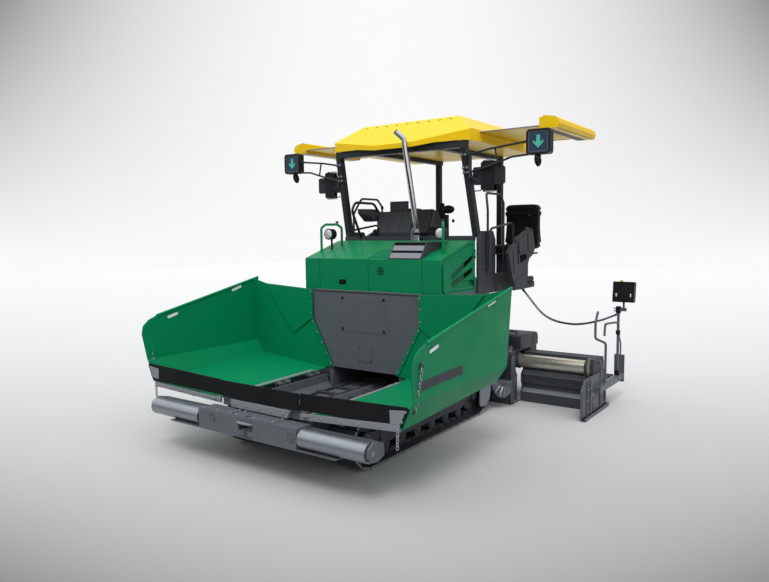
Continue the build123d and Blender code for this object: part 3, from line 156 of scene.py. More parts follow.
def plate(outline, low, high, axis="x", holes=()):
    """Flat plate: the outline, less its holes, filled at two levels and joined by walls round every loop."""
    loops = [np.asarray(outline, float)] + [np.asarray(h, float) for h in holes]
    flat = np.concatenate(loops)
    starts = np.cumsum([0] + [len(loop) for loop in loops])
    edges = [(s + k, s + (k + 1) % (e - s)) for s, e in zip(starts, starts[1:]) for k in range(e - s)]
    filled = delaunay_2d_cdt([Vector(p) for p in flat], edges, [], 1, 1e-6)
    two = np.array([tuple(p) for p in filled[0]])
    kept = [list(f) for f in filled[2] if encloses(loops[0], two[list(f)].mean(0))
            and not any(encloses(loop, two[list(f)].mean(0)) for loop in loops[1:])]
    i, j, k = AXES[axis]
    verts = np.empty((2 * len(two), 3))
    for half, level in enumerate((low, high)):
        rows = slice(half * len(two), (half + 1) * len(two))
        verts[rows, i], verts[rows, j], verts[rows, k] = two[:, 0], two[:, 1], level
    n = len(two)
    faces = [f[::-1] for f in kept] + [[v + n for v in f] for f in kept]
    rim = rim_edges(kept)
    faces += [[a, b, b + n, a + n] for a, b in rim]
    return verts, faces


def rim_edges(faces):
    """Edges that only one face uses."""
    seen = {}
    for face in faces:
        for a, b in zip(face, list(face[1:]) + [face[0]]):
            seen.setdefault(tuple(sorted((a, b))), []).append((a, b))
    return [uses[0] for uses in seen.values() if len(uses) == 1]


def bar(low, high, soft=0.0):
    """Box between two corners with its long edges turned by a small radius."""
    low, high = np.minimum(low, high), np.maximum(low, high)
    size = high - low
    k = int(np.argmax(size))
    axis = "xyz"[k]
    i, j = AXES[axis][:2]
    radius = max(min(soft, size[i] / 2.01, size[j] / 2.01), 0.01)
    outline = rounded_box(size[i], size[j], radius, 4 if soft else 2) + ((low + high)[[i, j]] / 2)
    return plate(outline, low[k], high[k], axis)


def copies(part, places):
    """One shape repeated at each place."""
    verts, faces = part
    places = np.asarray(places, float)
    many = (verts[None] + places[:, None]).reshape(-1, 3)
    return many, [[v + k * len(verts) for v in f] for k in range(len(places)) for f in faces]


def bolts(places, axis="y", size=9.0, out=1):
    """Hexagon heads on washers, standing out along the axis."""
    washer = lathe([(size * 1.35, 0), (size * 1.35, out * size * 0.22)], (0, 0, 0), axis, 16)
    head = lathe([(size, 0), (size, out * size * 0.72), (size * 0.82, out * size * 0.86)], (0, 0, 0), axis, 6)
    return [copies(washer, places), copies(head, places)]


def flipped(parts):
    """Parts on the machine's other side."""
    return [(verts * (-1, 1, 1), [f[::-1] for f in faces]) for verts, faces in parts]


def sided(parts, sign):
    """Parts drawn for the left side, on the side that the sign names."""
    return parts if sign > 0 else flipped(parts)


def piece(name, parts, finish, body, smooth=35.0, bevel=0.0):
    """Parts joined into one object with outward faces, in its finish; it rides on its body, if it has one."""
    offset, verts, faces = 0, [], []
    for points, polygons in parts:
        verts.append(points)
        faces += [[v + offset for v in f] for f in polygons]
        offset += len(points)
    mesh = bpy.data.meshes.new(name)
    mesh.from_pydata(at(np.concatenate(verts)).tolist(), [], faces)
    shape = bmesh.new()
    shape.from_mesh(mesh)
    bmesh.ops.recalc_face_normals(shape, faces=shape.faces)
    shape.to_mesh(mesh)
    shape.free()
    mesh.materials.append(finish)
    obj = bpy.data.objects.new(name, mesh)
    bpy.context.scene.collection.objects.link(obj)
    mesh.shade_smooth()
    mesh.set_sharp_from_angle(angle=math.radians(smooth))
    if bevel:
        soft = obj.modifiers.new("soft edges", "BEVEL")
        soft.width = bevel / 1000
        soft.segments = 2
        soft.limit_method = "ANGLE"
        soft.angle_limit = math.radians(40)
    if body:
        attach(obj, body)
    return obj


# ---------------------------------------------------------------- finishes
def shader_group(name, inputs, outputs):
    """Empty node group with named number inputs and named outputs."""
    group = bpy.data.node_groups.new(name, "ShaderNodeTree")
    for label, value in inputs:
        socket = group.interface.new_socket(name=label, in_out="INPUT", socket_type="NodeSocketFloat")
        socket.default_value = value
    for label, kind in outputs:
        group.interface.new_socket(name=label, in_out="OUTPUT", socket_type=kind)
    return group, group.nodes.new("NodeGroupInput"), group.nodes.new("NodeGroupOutput")


def node(tree, kind, links=None, **values):
    """Node with its properties set; links maps an input's name or number to a socket or a value."""
    made = tree.nodes.new(kind)
    for key, value in values.items():
        setattr(made, key, value)
    for key, value in (links or {}).items():
        if isinstance(value, bpy.types.NodeSocket):
            tree.links.new(value, made.inputs[key])
        else:
            made.inputs[key].default_value = value
    return made


def maths(tree, operation, *values):
    """Result of a Math node on sockets or numbers."""
    return node(tree, "ShaderNodeMath", dict(enumerate(values)), operation=operation).outputs[0]


def ranged(tree, value, low, high, to_low, to_high):
    """A value brought from the range low to high into the range to_low to to_high."""
    links = {"Value": value, 1: low, 2: high, 3: to_low, 4: to_high}
    return node(tree, "ShaderNodeMapRange", links).outputs[0]


def wear_group():
    """Rounded edge normal and a mask that is 1 along worn edges: where the rounded normal leaves the flat one."""
    group, inp, out = shader_group("edge wear", [("Radius", 0.004), ("Amount", 1.0)],
                                   [("Mask", "NodeSocketFloat"), ("Normal", "NodeSocketVector")])
    bevel = node(group, "ShaderNodeBevel", {"Radius": inp.outputs["Radius"]}, samples=3)
    flat = node(group, "ShaderNodeNewGeometry")
    dot = node(group, "ShaderNodeVectorMath", {0: bevel.outputs[0], 1: flat.outputs["Normal"]}, operation="DOT_PRODUCT")
    place = node(group, "ShaderNodeTexCoord")
    chips = node(group, "ShaderNodeTexNoise", {"Vector": place.outputs["Object"], "Scale": 38.0, "Detail": 4.0})
    away = ranged(group, dot.outputs["Value"], 0.985, 0.8, 0.0, 1.0)
    broken = ranged(group, chips.outputs[0], 0.42, 0.62, 0.0, 1.0)
    both = maths(group, "MULTIPLY", away, broken)
    group.links.new(maths(group, "MULTIPLY", both, inp.outputs["Amount"]), out.inputs["Mask"])
    group.links.new(bevel.outputs[0], out.inputs["Normal"])
    return group


def grain_group():
    """Height and tone of a fine surface grain: two noises, one five times finer than the other."""
    group, inp, out = shader_group("grain", [("Scale", 300.0), ("Stretch", 1.0)],
                                   [("Height", "NodeSocketFloat"), ("Tone", "NodeSocketFloat")])
    place = node(group, "ShaderNodeTexCoord")
    stretch = node(group, "ShaderNodeCombineXYZ", {0: inp.outputs["Stretch"], 1: 1.0, 2: 1.0})
    scaled = node(group, "ShaderNodeVectorMath", {0: place.outputs["Object"], 1: stretch.outputs[0]},
                  operation="MULTIPLY")
    coarse = node(group, "ShaderNodeTexNoise", {"Vector": scaled.outputs[0], "Scale": inp.outputs["Scale"],
                                                "Detail": 3.0})
    broad = node(group, "ShaderNodeTexNoise", {"Vector": place.outputs["Object"], "Scale": 2.3, "Detail": 5.0,
                                               "Roughness": 0.6})
    group.links.new(coarse.outputs[0], out.inputs["Height"])
    group.links.new(broad.outputs[0], out.inputs["Tone"])
    return group


def dust_group():
    """Mask of fine road dust: more towards the ground, broken by noise."""
    group, inp, out = shader_group("road dust", [("Ground", 0.9), ("Amount", 0.4)], [("Mask", "NodeSocketFloat")])
    place = node(group, "ShaderNodeTexCoord")
    split = node(group, "ShaderNodeSeparateXYZ", {0: place.outputs["Object"]})
    low = ranged(group, split.outputs[2], 0.0, inp.outputs["Ground"], 1.0, 0.0)
    patch = node(group, "ShaderNodeTexNoise", {"Vector": place.outputs["Object"], "Scale": 7.0, "Detail": 6.0,
                                               "Roughness": 0.7})
    both = maths(group, "MULTIPLY", low, ranged(group, patch.outputs[0], 0.4, 0.75, 0.0, 1.0))
    group.links.new(maths(group, "MULTIPLY", both, inp.outputs["Amount"]), out.inputs["Mask"])
    return group


WEAR, GRAIN, DUST = wear_group(), grain_group(), dust_group()


def linear(hexed):
    """Linear colour of a six-digit hex colour, by the sRGB curve."""
    c = np.array([int(hexed[k:k + 2], 16) for k in (0, 2, 4)]) / 255.0
    return tuple(np.where(c <= 0.04045, c / 12.92, ((c + 0.055) / 1.055) ** 2.4)) + (1.0,)


def use(tree, group, **values):
    """Group node with its own input values."""
    made = tree.nodes.new("ShaderNodeGroup")
    made.node_tree = group
    for key, value in values.items():
        made.inputs[key].default_value = value
    return made


def mixed(tree, factor, a, b):
    """Colour a turned to colour b by a factor."""
    mix = node(tree, "ShaderNodeMix", {0: factor, 6: a, 7: b}, data_type="RGBA")
    return mix.outputs[2]


def finish(name, colour, rough, metal=0.0, coat=0.0, tone=0.12, grain=(300.0, 0.02), stretch=1.0, wear=0.0,
           worn="9aa0a4", radius=0.004, dust=0.12, dusty="8d8a84", rough_swing=0.12, marks=None, sheen=0.0,
           gleam=0.22):
    """Painted, moulded or bare surface: base colour with a broad tone swing, worn edges, road dust and grain.

    marks adds a mask and its colour to the paint, for seams and bands that belong to one piece.
    """
    made = bpy.data.materials.new(name)
    made.use_nodes = True
    tree = made.node_tree
    shader = tree.nodes["Principled BSDF"]
    fine = use(tree, GRAIN, Scale=grain[0], Stretch=stretch)
    base = linear(colour)
    deep = tuple(c * (1 - tone) for c in base[:3]) + (1.0,)
    paint = mixed(tree, fine.outputs["Tone"], tuple(min(c * (1 + tone), 1) for c in base[:3]) + (1.0,), deep)
    height = fine.outputs["Height"]
    if marks:
        mask, shade = marks(tree)
        paint = mixed(tree, mask, paint, linear(shade))
        height = maths(tree, "SUBTRACT", height, mask)
    normal = None
    if radius:
        edge = use(tree, WEAR, Radius=radius, Amount=wear)
        if wear:
            paint = mixed(tree, edge.outputs["Mask"], paint, linear(worn))
        normal = edge.outputs["Normal"]
    if dust:
        film = use(tree, DUST, Amount=dust)
        paint = mixed(tree, film.outputs["Mask"], paint, linear(dusty))
    tree.links.new(paint, shader.inputs["Base Color"])
    swing = ranged(tree, fine.outputs["Tone"], 0.3, 0.7, max(rough - rough_swing, 0.03), min(rough + rough_swing, 1.0))
    tree.links.new(swing, shader.inputs["Roughness"])
    bump = node(tree, "ShaderNodeBump", {"Strength": grain[1] * 10, "Distance": 0.0008, "Height": height})
    if normal:
        tree.links.new(normal, bump.inputs["Normal"])
    tree.links.new(bump.outputs[0], shader.inputs["Normal"])
    shader.inputs["Metallic"].default_value = metal
    shader.inputs["Coat Weight"].default_value = coat
    shader.inputs["Coat Roughness"].default_value = 0.12
    shader.inputs["Sheen Weight"].default_value = sheen
    shader.inputs["Specular IOR Level"].default_value = gleam
    return made


def lines_mask(tree, axis, places, width):
    """1 within half a width of each place along an axis of the object, else 0."""
    place = node(tree, "ShaderNodeTexCoord")
    split = node(tree, "ShaderNodeSeparateXYZ", {0: place.outputs["Object"]})
    total = None
    for spot in places:
        near = maths(tree, "COMPARE", split.outputs[axis], spot, width / 2)
        total = near if total is None else maths(tree, "MAXIMUM", total, near)
    return total


def hood_seams(tree):
    """Gaps between the hood's sheets, along the machine."""
    return lines_mask(tree, 0, (-0.665, 0.0, 0.665), 0.006), "0b2a1e"


GREEN = finish("green paint", "007c50", 0.42, coat=0.04, tone=0.06, grain=(700.0, 0.012), wear=0.2, dust=0.0,
               worn="4fa080", gleam=0.13)
# The doors' green paint darkened as painted shade, for the louvre scoops sunk into the doors.
GREEN_IN_SHADE = finish("green paint with painted shade", "005236", 0.45, tone=0.06, grain=(700.0, 0.012), wear=0.1, dust=0.0,
                    worn="2f8262")
GREEN_HOOD = finish("green hood paint", "007c50", 0.38, coat=0.08, tone=0.06, grain=(700.0, 0.012), wear=0.12,
                    dust=0.0, worn="5ba98a", marks=hood_seams, gleam=0.14)
YELLOW = finish("yellow paint", "f2c803", 0.42, coat=0.12, tone=0.04, grain=(700.0, 0.012), dust=0.0, wear=0.1,
                worn="e9cf55")
STEEL_GREY = finish("grey paint", "575b61", 0.5, coat=0.04, tone=0.08, grain=(500.0, 0.02), wear=0.3, worn="858a90",
                    dust=0.15)
ANTHRACITE = finish("anthracite paint", "3c3f44", 0.52, coat=0.03, tone=0.08, grain=(500.0, 0.02), wear=0.3,
                    worn="6c7177", dust=0.12)
POST_GREY = finish("dark post paint", "2b2e32", 0.48, coat=0.05, tone=0.08, grain=(500.0, 0.02), wear=0.25,
                   worn="585c61", dust=0.0)
LIGHT_GREY = finish("light grey paint", "7d8187", 0.48, coat=0.04, tone=0.08, grain=(500.0, 0.02), wear=0.2,
                    dust=0.15)
BARE = finish("bare steel", "8f949b", 0.36, metal=0.85, tone=0.12, grain=(240.0, 0.03), stretch=0.06, dust=0.12,
              rough_swing=0.12, gleam=0.5)
GUIDE = finish("drawn guide steel", "c3bfb2", 0.3, metal=0.8, tone=0.1, grain=(240.0, 0.02), stretch=0.05, dust=0.1,
               rough_swing=0.08, gleam=0.5)
ZINC = finish("zinc steel", "a4a8ac", 0.34, metal=0.75, tone=0.12, grain=(420.0, 0.02), radius=0.0, dust=0.1,
              gleam=0.5)
TRACK = finish("track steel", "3b3d42", 0.55, metal=0.3, tone=0.2, grain=(260.0, 0.05), wear=0.9, worn="a0a4a9",
               dust=0.25, dusty="6f6c66")
PAD = finish("worn shoe steel", "8c9095", 0.42, metal=0.55, tone=0.25, grain=(220.0, 0.05), wear=0.5, worn="c4c7ca",
             dust=0.2, dusty="77746d", gleam=0.4)
RUBBER = finish("rubber", "17181a", 0.78, tone=0.2, grain=(340.0, 0.05), dust=0.1, dusty="4b4a48", gleam=0.12)
BLACK = finish("black plastic", "131416", 0.45, tone=0.12, grain=(900.0, 0.02), dust=0.03, gleam=0.3)
CORD_BLACK = finish("cord jacket", "0b0b0c", 0.6, tone=0.1, grain=(900.0, 0.02), radius=0.0, dust=0.0, gleam=0.08)
GREY_PLASTIC = finish("grey plastic", "3f4247", 0.55, tone=0.08, grain=(900.0, 0.03), dust=0.03)
CHROME = finish("chrome", "c9cccf", 0.1, metal=1.0, tone=0.03, grain=(120.0, 0.004), radius=0.0, dust=0.0,
                rough_swing=0.05, gleam=0.5)
# Flat near-black: dark joints and seams, and painted shade in openings, recesses, gaps between slats and holes.
DARK_GAP_AND_SHADE = finish("dark gaps and painted shade", "08090a", 0.85, tone=0.2, grain=(300.0, 0.03), radius=0.0, dust=0.05, gleam=0.08)
PALE = finish("light seen through a slot", "dfe2e2", 0.9, tone=0.03, grain=(300.0, 0.004), radius=0.0, dust=0.0,
              gleam=0.0)
LENS_BLUE = finish("dark blue lens", "14304e", 0.12, coat=0.8, tone=0.12, grain=(90.0, 0.01), radius=0.0, dust=0.0,
                   gleam=0.5)
GREEN_LIGHT = finish("green signal light", "55b89c", 0.3, tone=0.05, grain=(90.0, 0.01), radius=0.0, dust=0.0)
AMBER = finish("amber lens", "e98a12", 0.2, coat=0.6, tone=0.08, grain=(200.0, 0.02), radius=0.0, dust=0.0)
GLASS = finish("lamp glass", "d5dadd", 0.1, metal=0.35, coat=1.0, tone=0.1, grain=(60.0, 0.03), radius=0.0, dust=0.0,
               gleam=0.5)
SPECKLED = finish("speckled steel", "8f897c", 0.5, metal=0.5, tone=0.55, grain=(130.0, 0.05), radius=0.0, dust=0.2,
                  gleam=0.4)
MIRROR = finish("mirror glass", "dfe4e8", 0.04, metal=1.0, tone=0.02, grain=(30.0, 0.002), radius=0.0, dust=0.0,
                rough_swing=0.02, gleam=0.5)
SCREEN = finish("display glass", "0d1216", 0.1, coat=0.6, tone=0.05, grain=(60.0, 0.005), radius=0.0, dust=0.0,
                gleam=0.4)


def padding():
    """Black upholstery: pebbled leather grain from cell edges over the shared tone, with a soft sheen."""
    made = finish("seat padding", "101113", 0.6, tone=0.15, grain=(60.0, 0.0), radius=0.0, dust=0.0, sheen=0.06)
    tree = made.node_tree
    place = node(tree, "ShaderNodeTexCoord")
    cells = node(tree, "ShaderNodeTexVoronoi", {"Vector": place.outputs["Object"], "Scale": 420.0},
                 feature="DISTANCE_TO_EDGE")
    bump = node(tree, "ShaderNodeBump", {"Strength": 0.35, "Distance": 0.001, "Height": cells.outputs["Distance"]})
    tree.links.new(bump.outputs[0], tree.nodes["Principled BSDF"].inputs["Normal"])
    return made


PADDING = padding()
NODE_FINISH = {
    "main_frame": ANTHRACITE, "drive_covers": ANTHRACITE, "conveyor_trough": STEEL_GREY, "conveyor_slats": TRACK,
    "track_left": TRACK, "track_right": TRACK, "track_frames": ANTHRACITE, "tow_points": LIGHT_GREY,
    "body_housing": STEEL_GREY, "engine_block": ANTHRACITE, "bulkhead": STEEL_GREY, "hood": GREEN_HOOD,
    "hood_door_left": GREEN, "hood_door_right": GREEN, "intake_cap": ANTHRACITE, "work_lamps": BLACK,
    "exhaust_pipe": CHROME, "wing_left": GREEN, "wing_right": GREEN, "apron_left": RUBBER, "apron_right": RUBBER,
    "apron_centre": RUBBER, "push_bar": STEEL_GREY, "push_roller_left": BARE, "push_roller_right": BARE,
    "platform_deck": ANTHRACITE, "side_panels": ANTHRACITE, "dashboard": GREY_PLASTIC, "seat_frames": ANTHRACITE,
    "seat_cushions": PADDING, "roof_posts": POST_GREY, "roof_shell": YELLOW, "roof_panel_left": YELLOW,
    "roof_panel_right": YELLOW, "signal_arms": POST_GREY, "signal_boxes": BLACK, "signal_lenses": LENS_BLUE,
    "auger_left": BARE, "auger_right": BARE, "auger_carrier": ANTHRACITE, "screed_base": ANTHRACITE,
    "tow_arms": ANTHRACITE, "extension_left": ANTHRACITE, "extension_right": ANTHRACITE, "end_plate_left": STEEL_GREY,
    "end_plate_right": STEEL_GREY, "remote_console_left": BLACK, "remote_console_right": BLACK, "console_cord": BLACK,
    "lift_barrel_left": ANTHRACITE, "lift_barrel_right": ANTHRACITE, "lift_rod_left": CHROME,
    "lift_rod_right": CHROME,
}
for name, surface in NODE_FINISH.items():
    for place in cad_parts[name].material_slots:
        place.material = surface


# ---------------------------------------------------------------- fine shapes
def pill(a, b, radius, steps=9):
    """Outline with round ends: half circles of the radius about both ends of a run."""
    a, b = np.asarray(a, float), np.asarray(b, float)
    turn = math.atan2(b[1] - a[1], b[0] - a[0])
    half = np.linspace(-math.pi / 2, math.pi / 2, steps) + turn
    arc = np.stack([np.cos(half), np.sin(half)], -1) * radius
    return np.concatenate([b + arc, a - arc])


def chain(start, end, sag, link=38.0, wire=3.8):
    """Oval links along a parabola between two points, every other one turned by a quarter about the line."""
    start, end = np.asarray(start, float), np.asarray(end, float)
    t = np.linspace(0, 1, 300)
    line = start + t[:, None] * (end - start)
    line[:, 2] -= 4 * sag * t * (1 - t)
    run = np.concatenate([[0], np.cumsum(np.linalg.norm(np.diff(line, axis=0), axis=1))])
    spots = np.arange(link / 2, run[-1], link * 0.76)
    a = np.arange(14) * 2 * math.pi / 14
    parts = []
    for k, spot in enumerate(spots):
        here, ahead = (np.array([np.interp(s, run, line[:, c]) for c in range(3)]) for s in (spot - 3, spot + 3))
        along = unit(ahead - here)
        side = unit(np.cross(along, (0.0, 1.0, 0.05)))
        over = np.cross(side, along)
        wide, thin = (side, over) if k % 2 else (over, side)
        ring = here + np.cos(a)[:, None] * along * link / 2 + np.sin(a)[:, None] * wide * link * 0.31
        parts.append(sweep(ring, circle(wire, 6), thin, close=True))
    return parts


def ball(centre, size, rings=9, sides=16):
    """Ellipsoid: each half axis times the point of a unit sphere."""
    a = np.linspace(0.02, math.pi - 0.02, rings)
    verts, faces = lathe(np.stack([np.sin(a), -np.cos(a)], -1), (0, 0, 0), "z", sides)
    return verts * np.asarray(size, float) + np.asarray(centre, float), faces


def tipped(part, pivot, axis, degrees):
    """A part turned about an axis through a pivot."""
    turn = np.array(Matrix.Rotation(math.radians(degrees), 3, axis))
    pivot = np.asarray(pivot, float)
    return (part[0] - pivot) @ turn.T + pivot, part[1]


# ---------------------------------------------------------------- hopper
FOLD = (1584.0, 812.0)                 # fold line of a wing's outer wall: across and up
LEAN = 48.0 / 731.0                    # the wall's run outwards for each rise above the fold
WALL_T = 10.0
REAR_WALL = {"left": -176.0, "right": -151.0}
HINGES_Y = (-1380.0, -860.0, -400.0)
APRON_Y = -1662.0                      # front face of a wing's rubber flap


def on_wall(part):
    """A part drawn upright at the fold, leaned with the outer wall: x grows with the height above the fold."""
    verts = part[0].copy()
    verts[:, 0] += (verts[:, 2] - FOLD[1]) * LEAN
    return verts, part[1]


def floor_z(x, y):
    """Height of a wing's floor: linear in both directions from its hinge edge."""
    share = (y + 1726.0) / 1654.0
    inner, outer = 566.0 + 20.0 * share, 607.0 + 75.0 * share
    return inner + (x - 531.0) / 958.0 * (outer - inner)


def hopper(sign, side):
    """Band, hand slots, chains, hinge sleeves, bolts and apron strips of one wing."""
    body = "wing_" + side
    out, inside = FOLD[0], FOLD[0] - WALL_T
    band = plate([(-1583, 960), (-1589, 890), (-927, 902), (-931, 980)], out - 1, out + 3)
    piece("wing_band_" + side, sided([on_wall(band)], sign), ANTHRACITE, body)
    holes = (((-1450, 1170), (-1346, 1196)), ((-530, 1429), (-406, 1455))) if sign > 0 else (
        ((-1365, 1209), (-1262, 1235)), ((-480, 1419), (-359, 1453)))
    open_, rims = [], []
    for a, b in holes:
        for level, step in ((out, 1.0), (inside, -1.0)):
            low, high = sorted((level - step, level + 0.8 * step))
            open_.append(on_wall(plate(pill(a, b, 15), low, high)))
            low, high = sorted((level - step, level + 2.4 * step))
            rims.append(on_wall(plate(pill(a, b, 20), low, high, holes=[pill(a, b, 15)])))
    piece("hand_slots_" + side, sided(open_, sign), PALE, body)
    piece("hand_slot_rims_" + side, sided(rims, sign), GREEN, body)
    top = out + (1084 - FOLD[1]) * LEAN
    hook = [bar((top - 2, -1604, 1060), (top + 6, -1572, 1108), 5),
            sweep(rounded([(top + 4, -1588, 1098), (top + 26, -1588, 1098), (top + 26, -1588, 1070),
                           (top + 12, -1588, 1066)], 8), circle(5, 8), (0, 1, 0)),
            bar((1545, -1602, 716), (1556, -1574, 742), 4)]
    piece("chain_hooks_" + side, sided(hook, sign), ANTHRACITE, body)
    links = chain((top + 20, -1588, 1072), (1556, -1588, 730), 18)
    piece("wing_chain_" + side, sided(links, sign), ZINC, body, smooth=60)
    edge_y = np.linspace(-1690.0, -330.0, 12)
    grid = np.stack([np.stack([np.full(12, x), edge_y, floor_z(x, edge_y) + dz], -1)
                     for x, dz in ((536, -2), (536, 3.5), (582, 3.5), (582, -2))], 1)
    piece("floor_edge_" + side, sided([skin(grid)], sign), LIGHT_GREY, body)
    knuckles = []
    for start in [y + step for y in HINGES_Y for step in (-60.3, 60.3)]:
        knuckles += [lathe([(16.6, 0), (17.4, 0), (17.4, 60), (16.6, 60)], (507, start, 548), "y", 28),
                     bar((508.7, start - 0.1, 543.7), (567.3, start + 60.1, floor_z(540, start) - 3))]
    piece("hinge_sleeves_" + side, sided(knuckles, sign), STEEL_GREY, body)
    reach = 1462 if sign > 0 else 1420
    links = chain((reach, APRON_Y - 12, 612), (reach - 6, APRON_Y - 12, 452), 6, 34, 3.6)
    piece("strip_chain_" + side, sided(links, sign), ZINC, body, smooth=60)
    strip = [(706 - t * 267, REAR_WALL[side] - 8, 1100 - t * 475) for t in (0.03, 0.27, 0.5, 0.73, 0.96)]
    edge = [(716, REAR_WALL[side] - (12 if sign > 0 else 7), z) for z in (1180, 1300, 1410)]
    fixings = bolts(strip, "y", 8, -1) + bolts(edge, "y", 8, -1)
    if sign > 0:
        line = [(484, 527), (1473, 589), (1473, 644), (484, 578)]
        heads = [(x, 552 + (x - 484) * 0.065) for x in (530, 720, 910, 1100, 1290, 1430)]
    else:
        line = [(484, 535), (1431, 563), (1431, 604), (484, 572)]
        heads = [(x, 553 + (x - 484) * 0.032) for x in (530, 700, 870, 1040, 1210, 1380)]
    clamps = [plate(line, APRON_Y - 6, -1645, "y"),
              plate([(1388, 640), (1478, 646), (1528, 757), (1382, 742)], APRON_Y - 5, APRON_Y + 1, "y")]
    piece("apron_strips_" + side, sided(clamps, sign), LIGHT_GREY, body, bevel=1.5)
    fixings += bolts([(x, APRON_Y - 6, z) for x, z in heads], "y", 9, -1)
    fixings += bolts([(1494, APRON_Y - 5, 668), (1528, APRON_Y - 5, 748)], "y", 7, -1)
    piece("wing_bolts_" + side, sided(fixings, sign), ZINC, body, smooth=25)
    stay = [(x, 592 - 60 * math.sin(math.pi * (x - 798) / 207)) for x in np.linspace(798, 1005, 14)]
    piece("apron_stay_" + side, sided([plate(stay, -1640, -1626, "y")], sign), STEEL_GREY, body,
          bevel=1.5)


def centre_apron():
    """Bolted strip that clamps the middle flap to the trough's front plate."""
    strip = plate([(-334, 581), (-319, 522), (357, 522), (379, 581), (372, 590), (-328, 590)], -1685, -1645, "y")
    piece("centre_strip", [strip], LIGHT_GREY, "tractor", bevel=2)
    heads = [(x, -1685, 553) for x in (-270, -130, 20, 170, 310)]
    piece("centre_strip_bolts", bolts(heads, "y", 9, -1), ZINC, "tractor", smooth=25)


# ---------------------------------------------------------------- push bar
def push_bar():
    """Plugs, cover bolts, jaw lining, roller collars and end caps of the push bar."""
    front, top = -1833.0, 511.0
    plugs = []
    for x, z in ((-402, 448), (528, 426)):
        plugs.append(lathe([(34, 0), (34, -7), (27, -8), (25, -3), (14, -3), (12, -7), (0.5, -8)], (x, front, z),
                           "y", 28))
    piece("plug_bosses", plugs, STEEL_GREY, "push_bar")
    heads = [(x, y, top) for x in (-545, -207, -135, 310) for y in (-1800, -1690)]
    heads += [(-376, -1800, top), (90, -1800, top)]
    fixings = bolts(heads, "z", 9) + bolts([(0, -1838, 465)], "y", 7, -1)
    piece("cover_bolts", fixings, ZINC, "push_bar", smooth=25)
    piece("jaw_lining", [bar((-68, -1812, 395), (88, -1742, 400), 3), bar((-40, -1752, 402), (60, -1741, 452), 3)],
          LIGHT_GREY, "push_bar")
    lip = [(-82, front + 2), (-70, front - 26), (10, front - 40), (90, front - 26), (102, front + 2)]
    tongue = [plate(lip, 458, 470, "z"), lathe([(13, 0), (13, 7), (9, 9), (0.5, 9)], (10, front - 16, 470), "z", 6)]
    piece("jaw_tongue", tongue, LIGHT_GREY, "push_bar", bevel=2)
    under = [bar((-70, front - 5, 340), (90, front + 1, 352), 3),
             lathe([(20, 0), (20, -6), (0.5, -7)], (10, front, 372), "y", 24)]
    piece("jaw_boss", under, ANTHRACITE, "push_bar")
    axle_y, axle_z = -1763.0, 420.0
    inner = lathe([(38, 0), (54, 0), (58, 3), (58, 9), (54, 12), (38, 12)], (590, axle_y, axle_z), "x", 28)
    outer = lathe([(30, 0), (46, 0), (46, 4), (30, 4)], (1271, axle_y, axle_z), "x", 28)
    collars = []
    for sign in SIGNS:
        collars += sided([inner, outer], sign)
    piece("roller_collars", collars, ZINC, "push_bar")
    for sign, side in BOTH:
        ends = [lathe([(40, 0), (66, -2), (72, -1), (72, 1), (40, 1)], (604, axle_y, axle_z), "x", 32)]
        piece("roller_ends_" + side, sided(ends, sign), ANTHRACITE, "push_roller_" + side)


# ---------------------------------------------------------------- bulkhead, hood and what stands on it
def bulkhead():
    """Two hatches with raised rims, latches and bolts on the plate between the wings."""
    face = -137.0
    big = rounded_box(617, 398, 34) + (-16.5, 1199)
    inner = rounded_box(581, 362, 26) + (-16.5, 1199)
    small = rounded_box(171, 150, 12) + (10.5, 775)
    piece("hatches", [plate(big, face - 2.6, face + 1, "y", holes=[inner]), plate(inner, face - 4.2, face + 1, "y"),
                      plate(small, face - 3.6, face + 1, "y")], STEEL_GREY, "tractor", bevel=1.2)
    latches = []
    for x in (-285, 252):
        for z in (1035, 1363):
            latches.append(lathe([(17, 0), (17, -0.9), (6, -0.9), (5, -0.3), (0.5, -0.3)], (x, face - 4.2, z), "y"))
    heads = [lathe([(8, 0), (8, -1.2), (0.5, -1.4)], (x, face - 3.6, z), "y", 6)
             for x in (-62, 83) for z in (712, 838)]
    piece("hatch_latches", latches + heads, BLACK, "tractor")
    edge = [bar((-690, face - 4, 1424), (690, face + 1, 1441), 2)]
    piece("bulkhead_edge", edge, ANTHRACITE, "tractor")


def hood_z(y):
    """Height of the hood's sloping top."""
    return 1777.0 + 184.0 / 595.0 * (np.asarray(y, float) + 60.0)


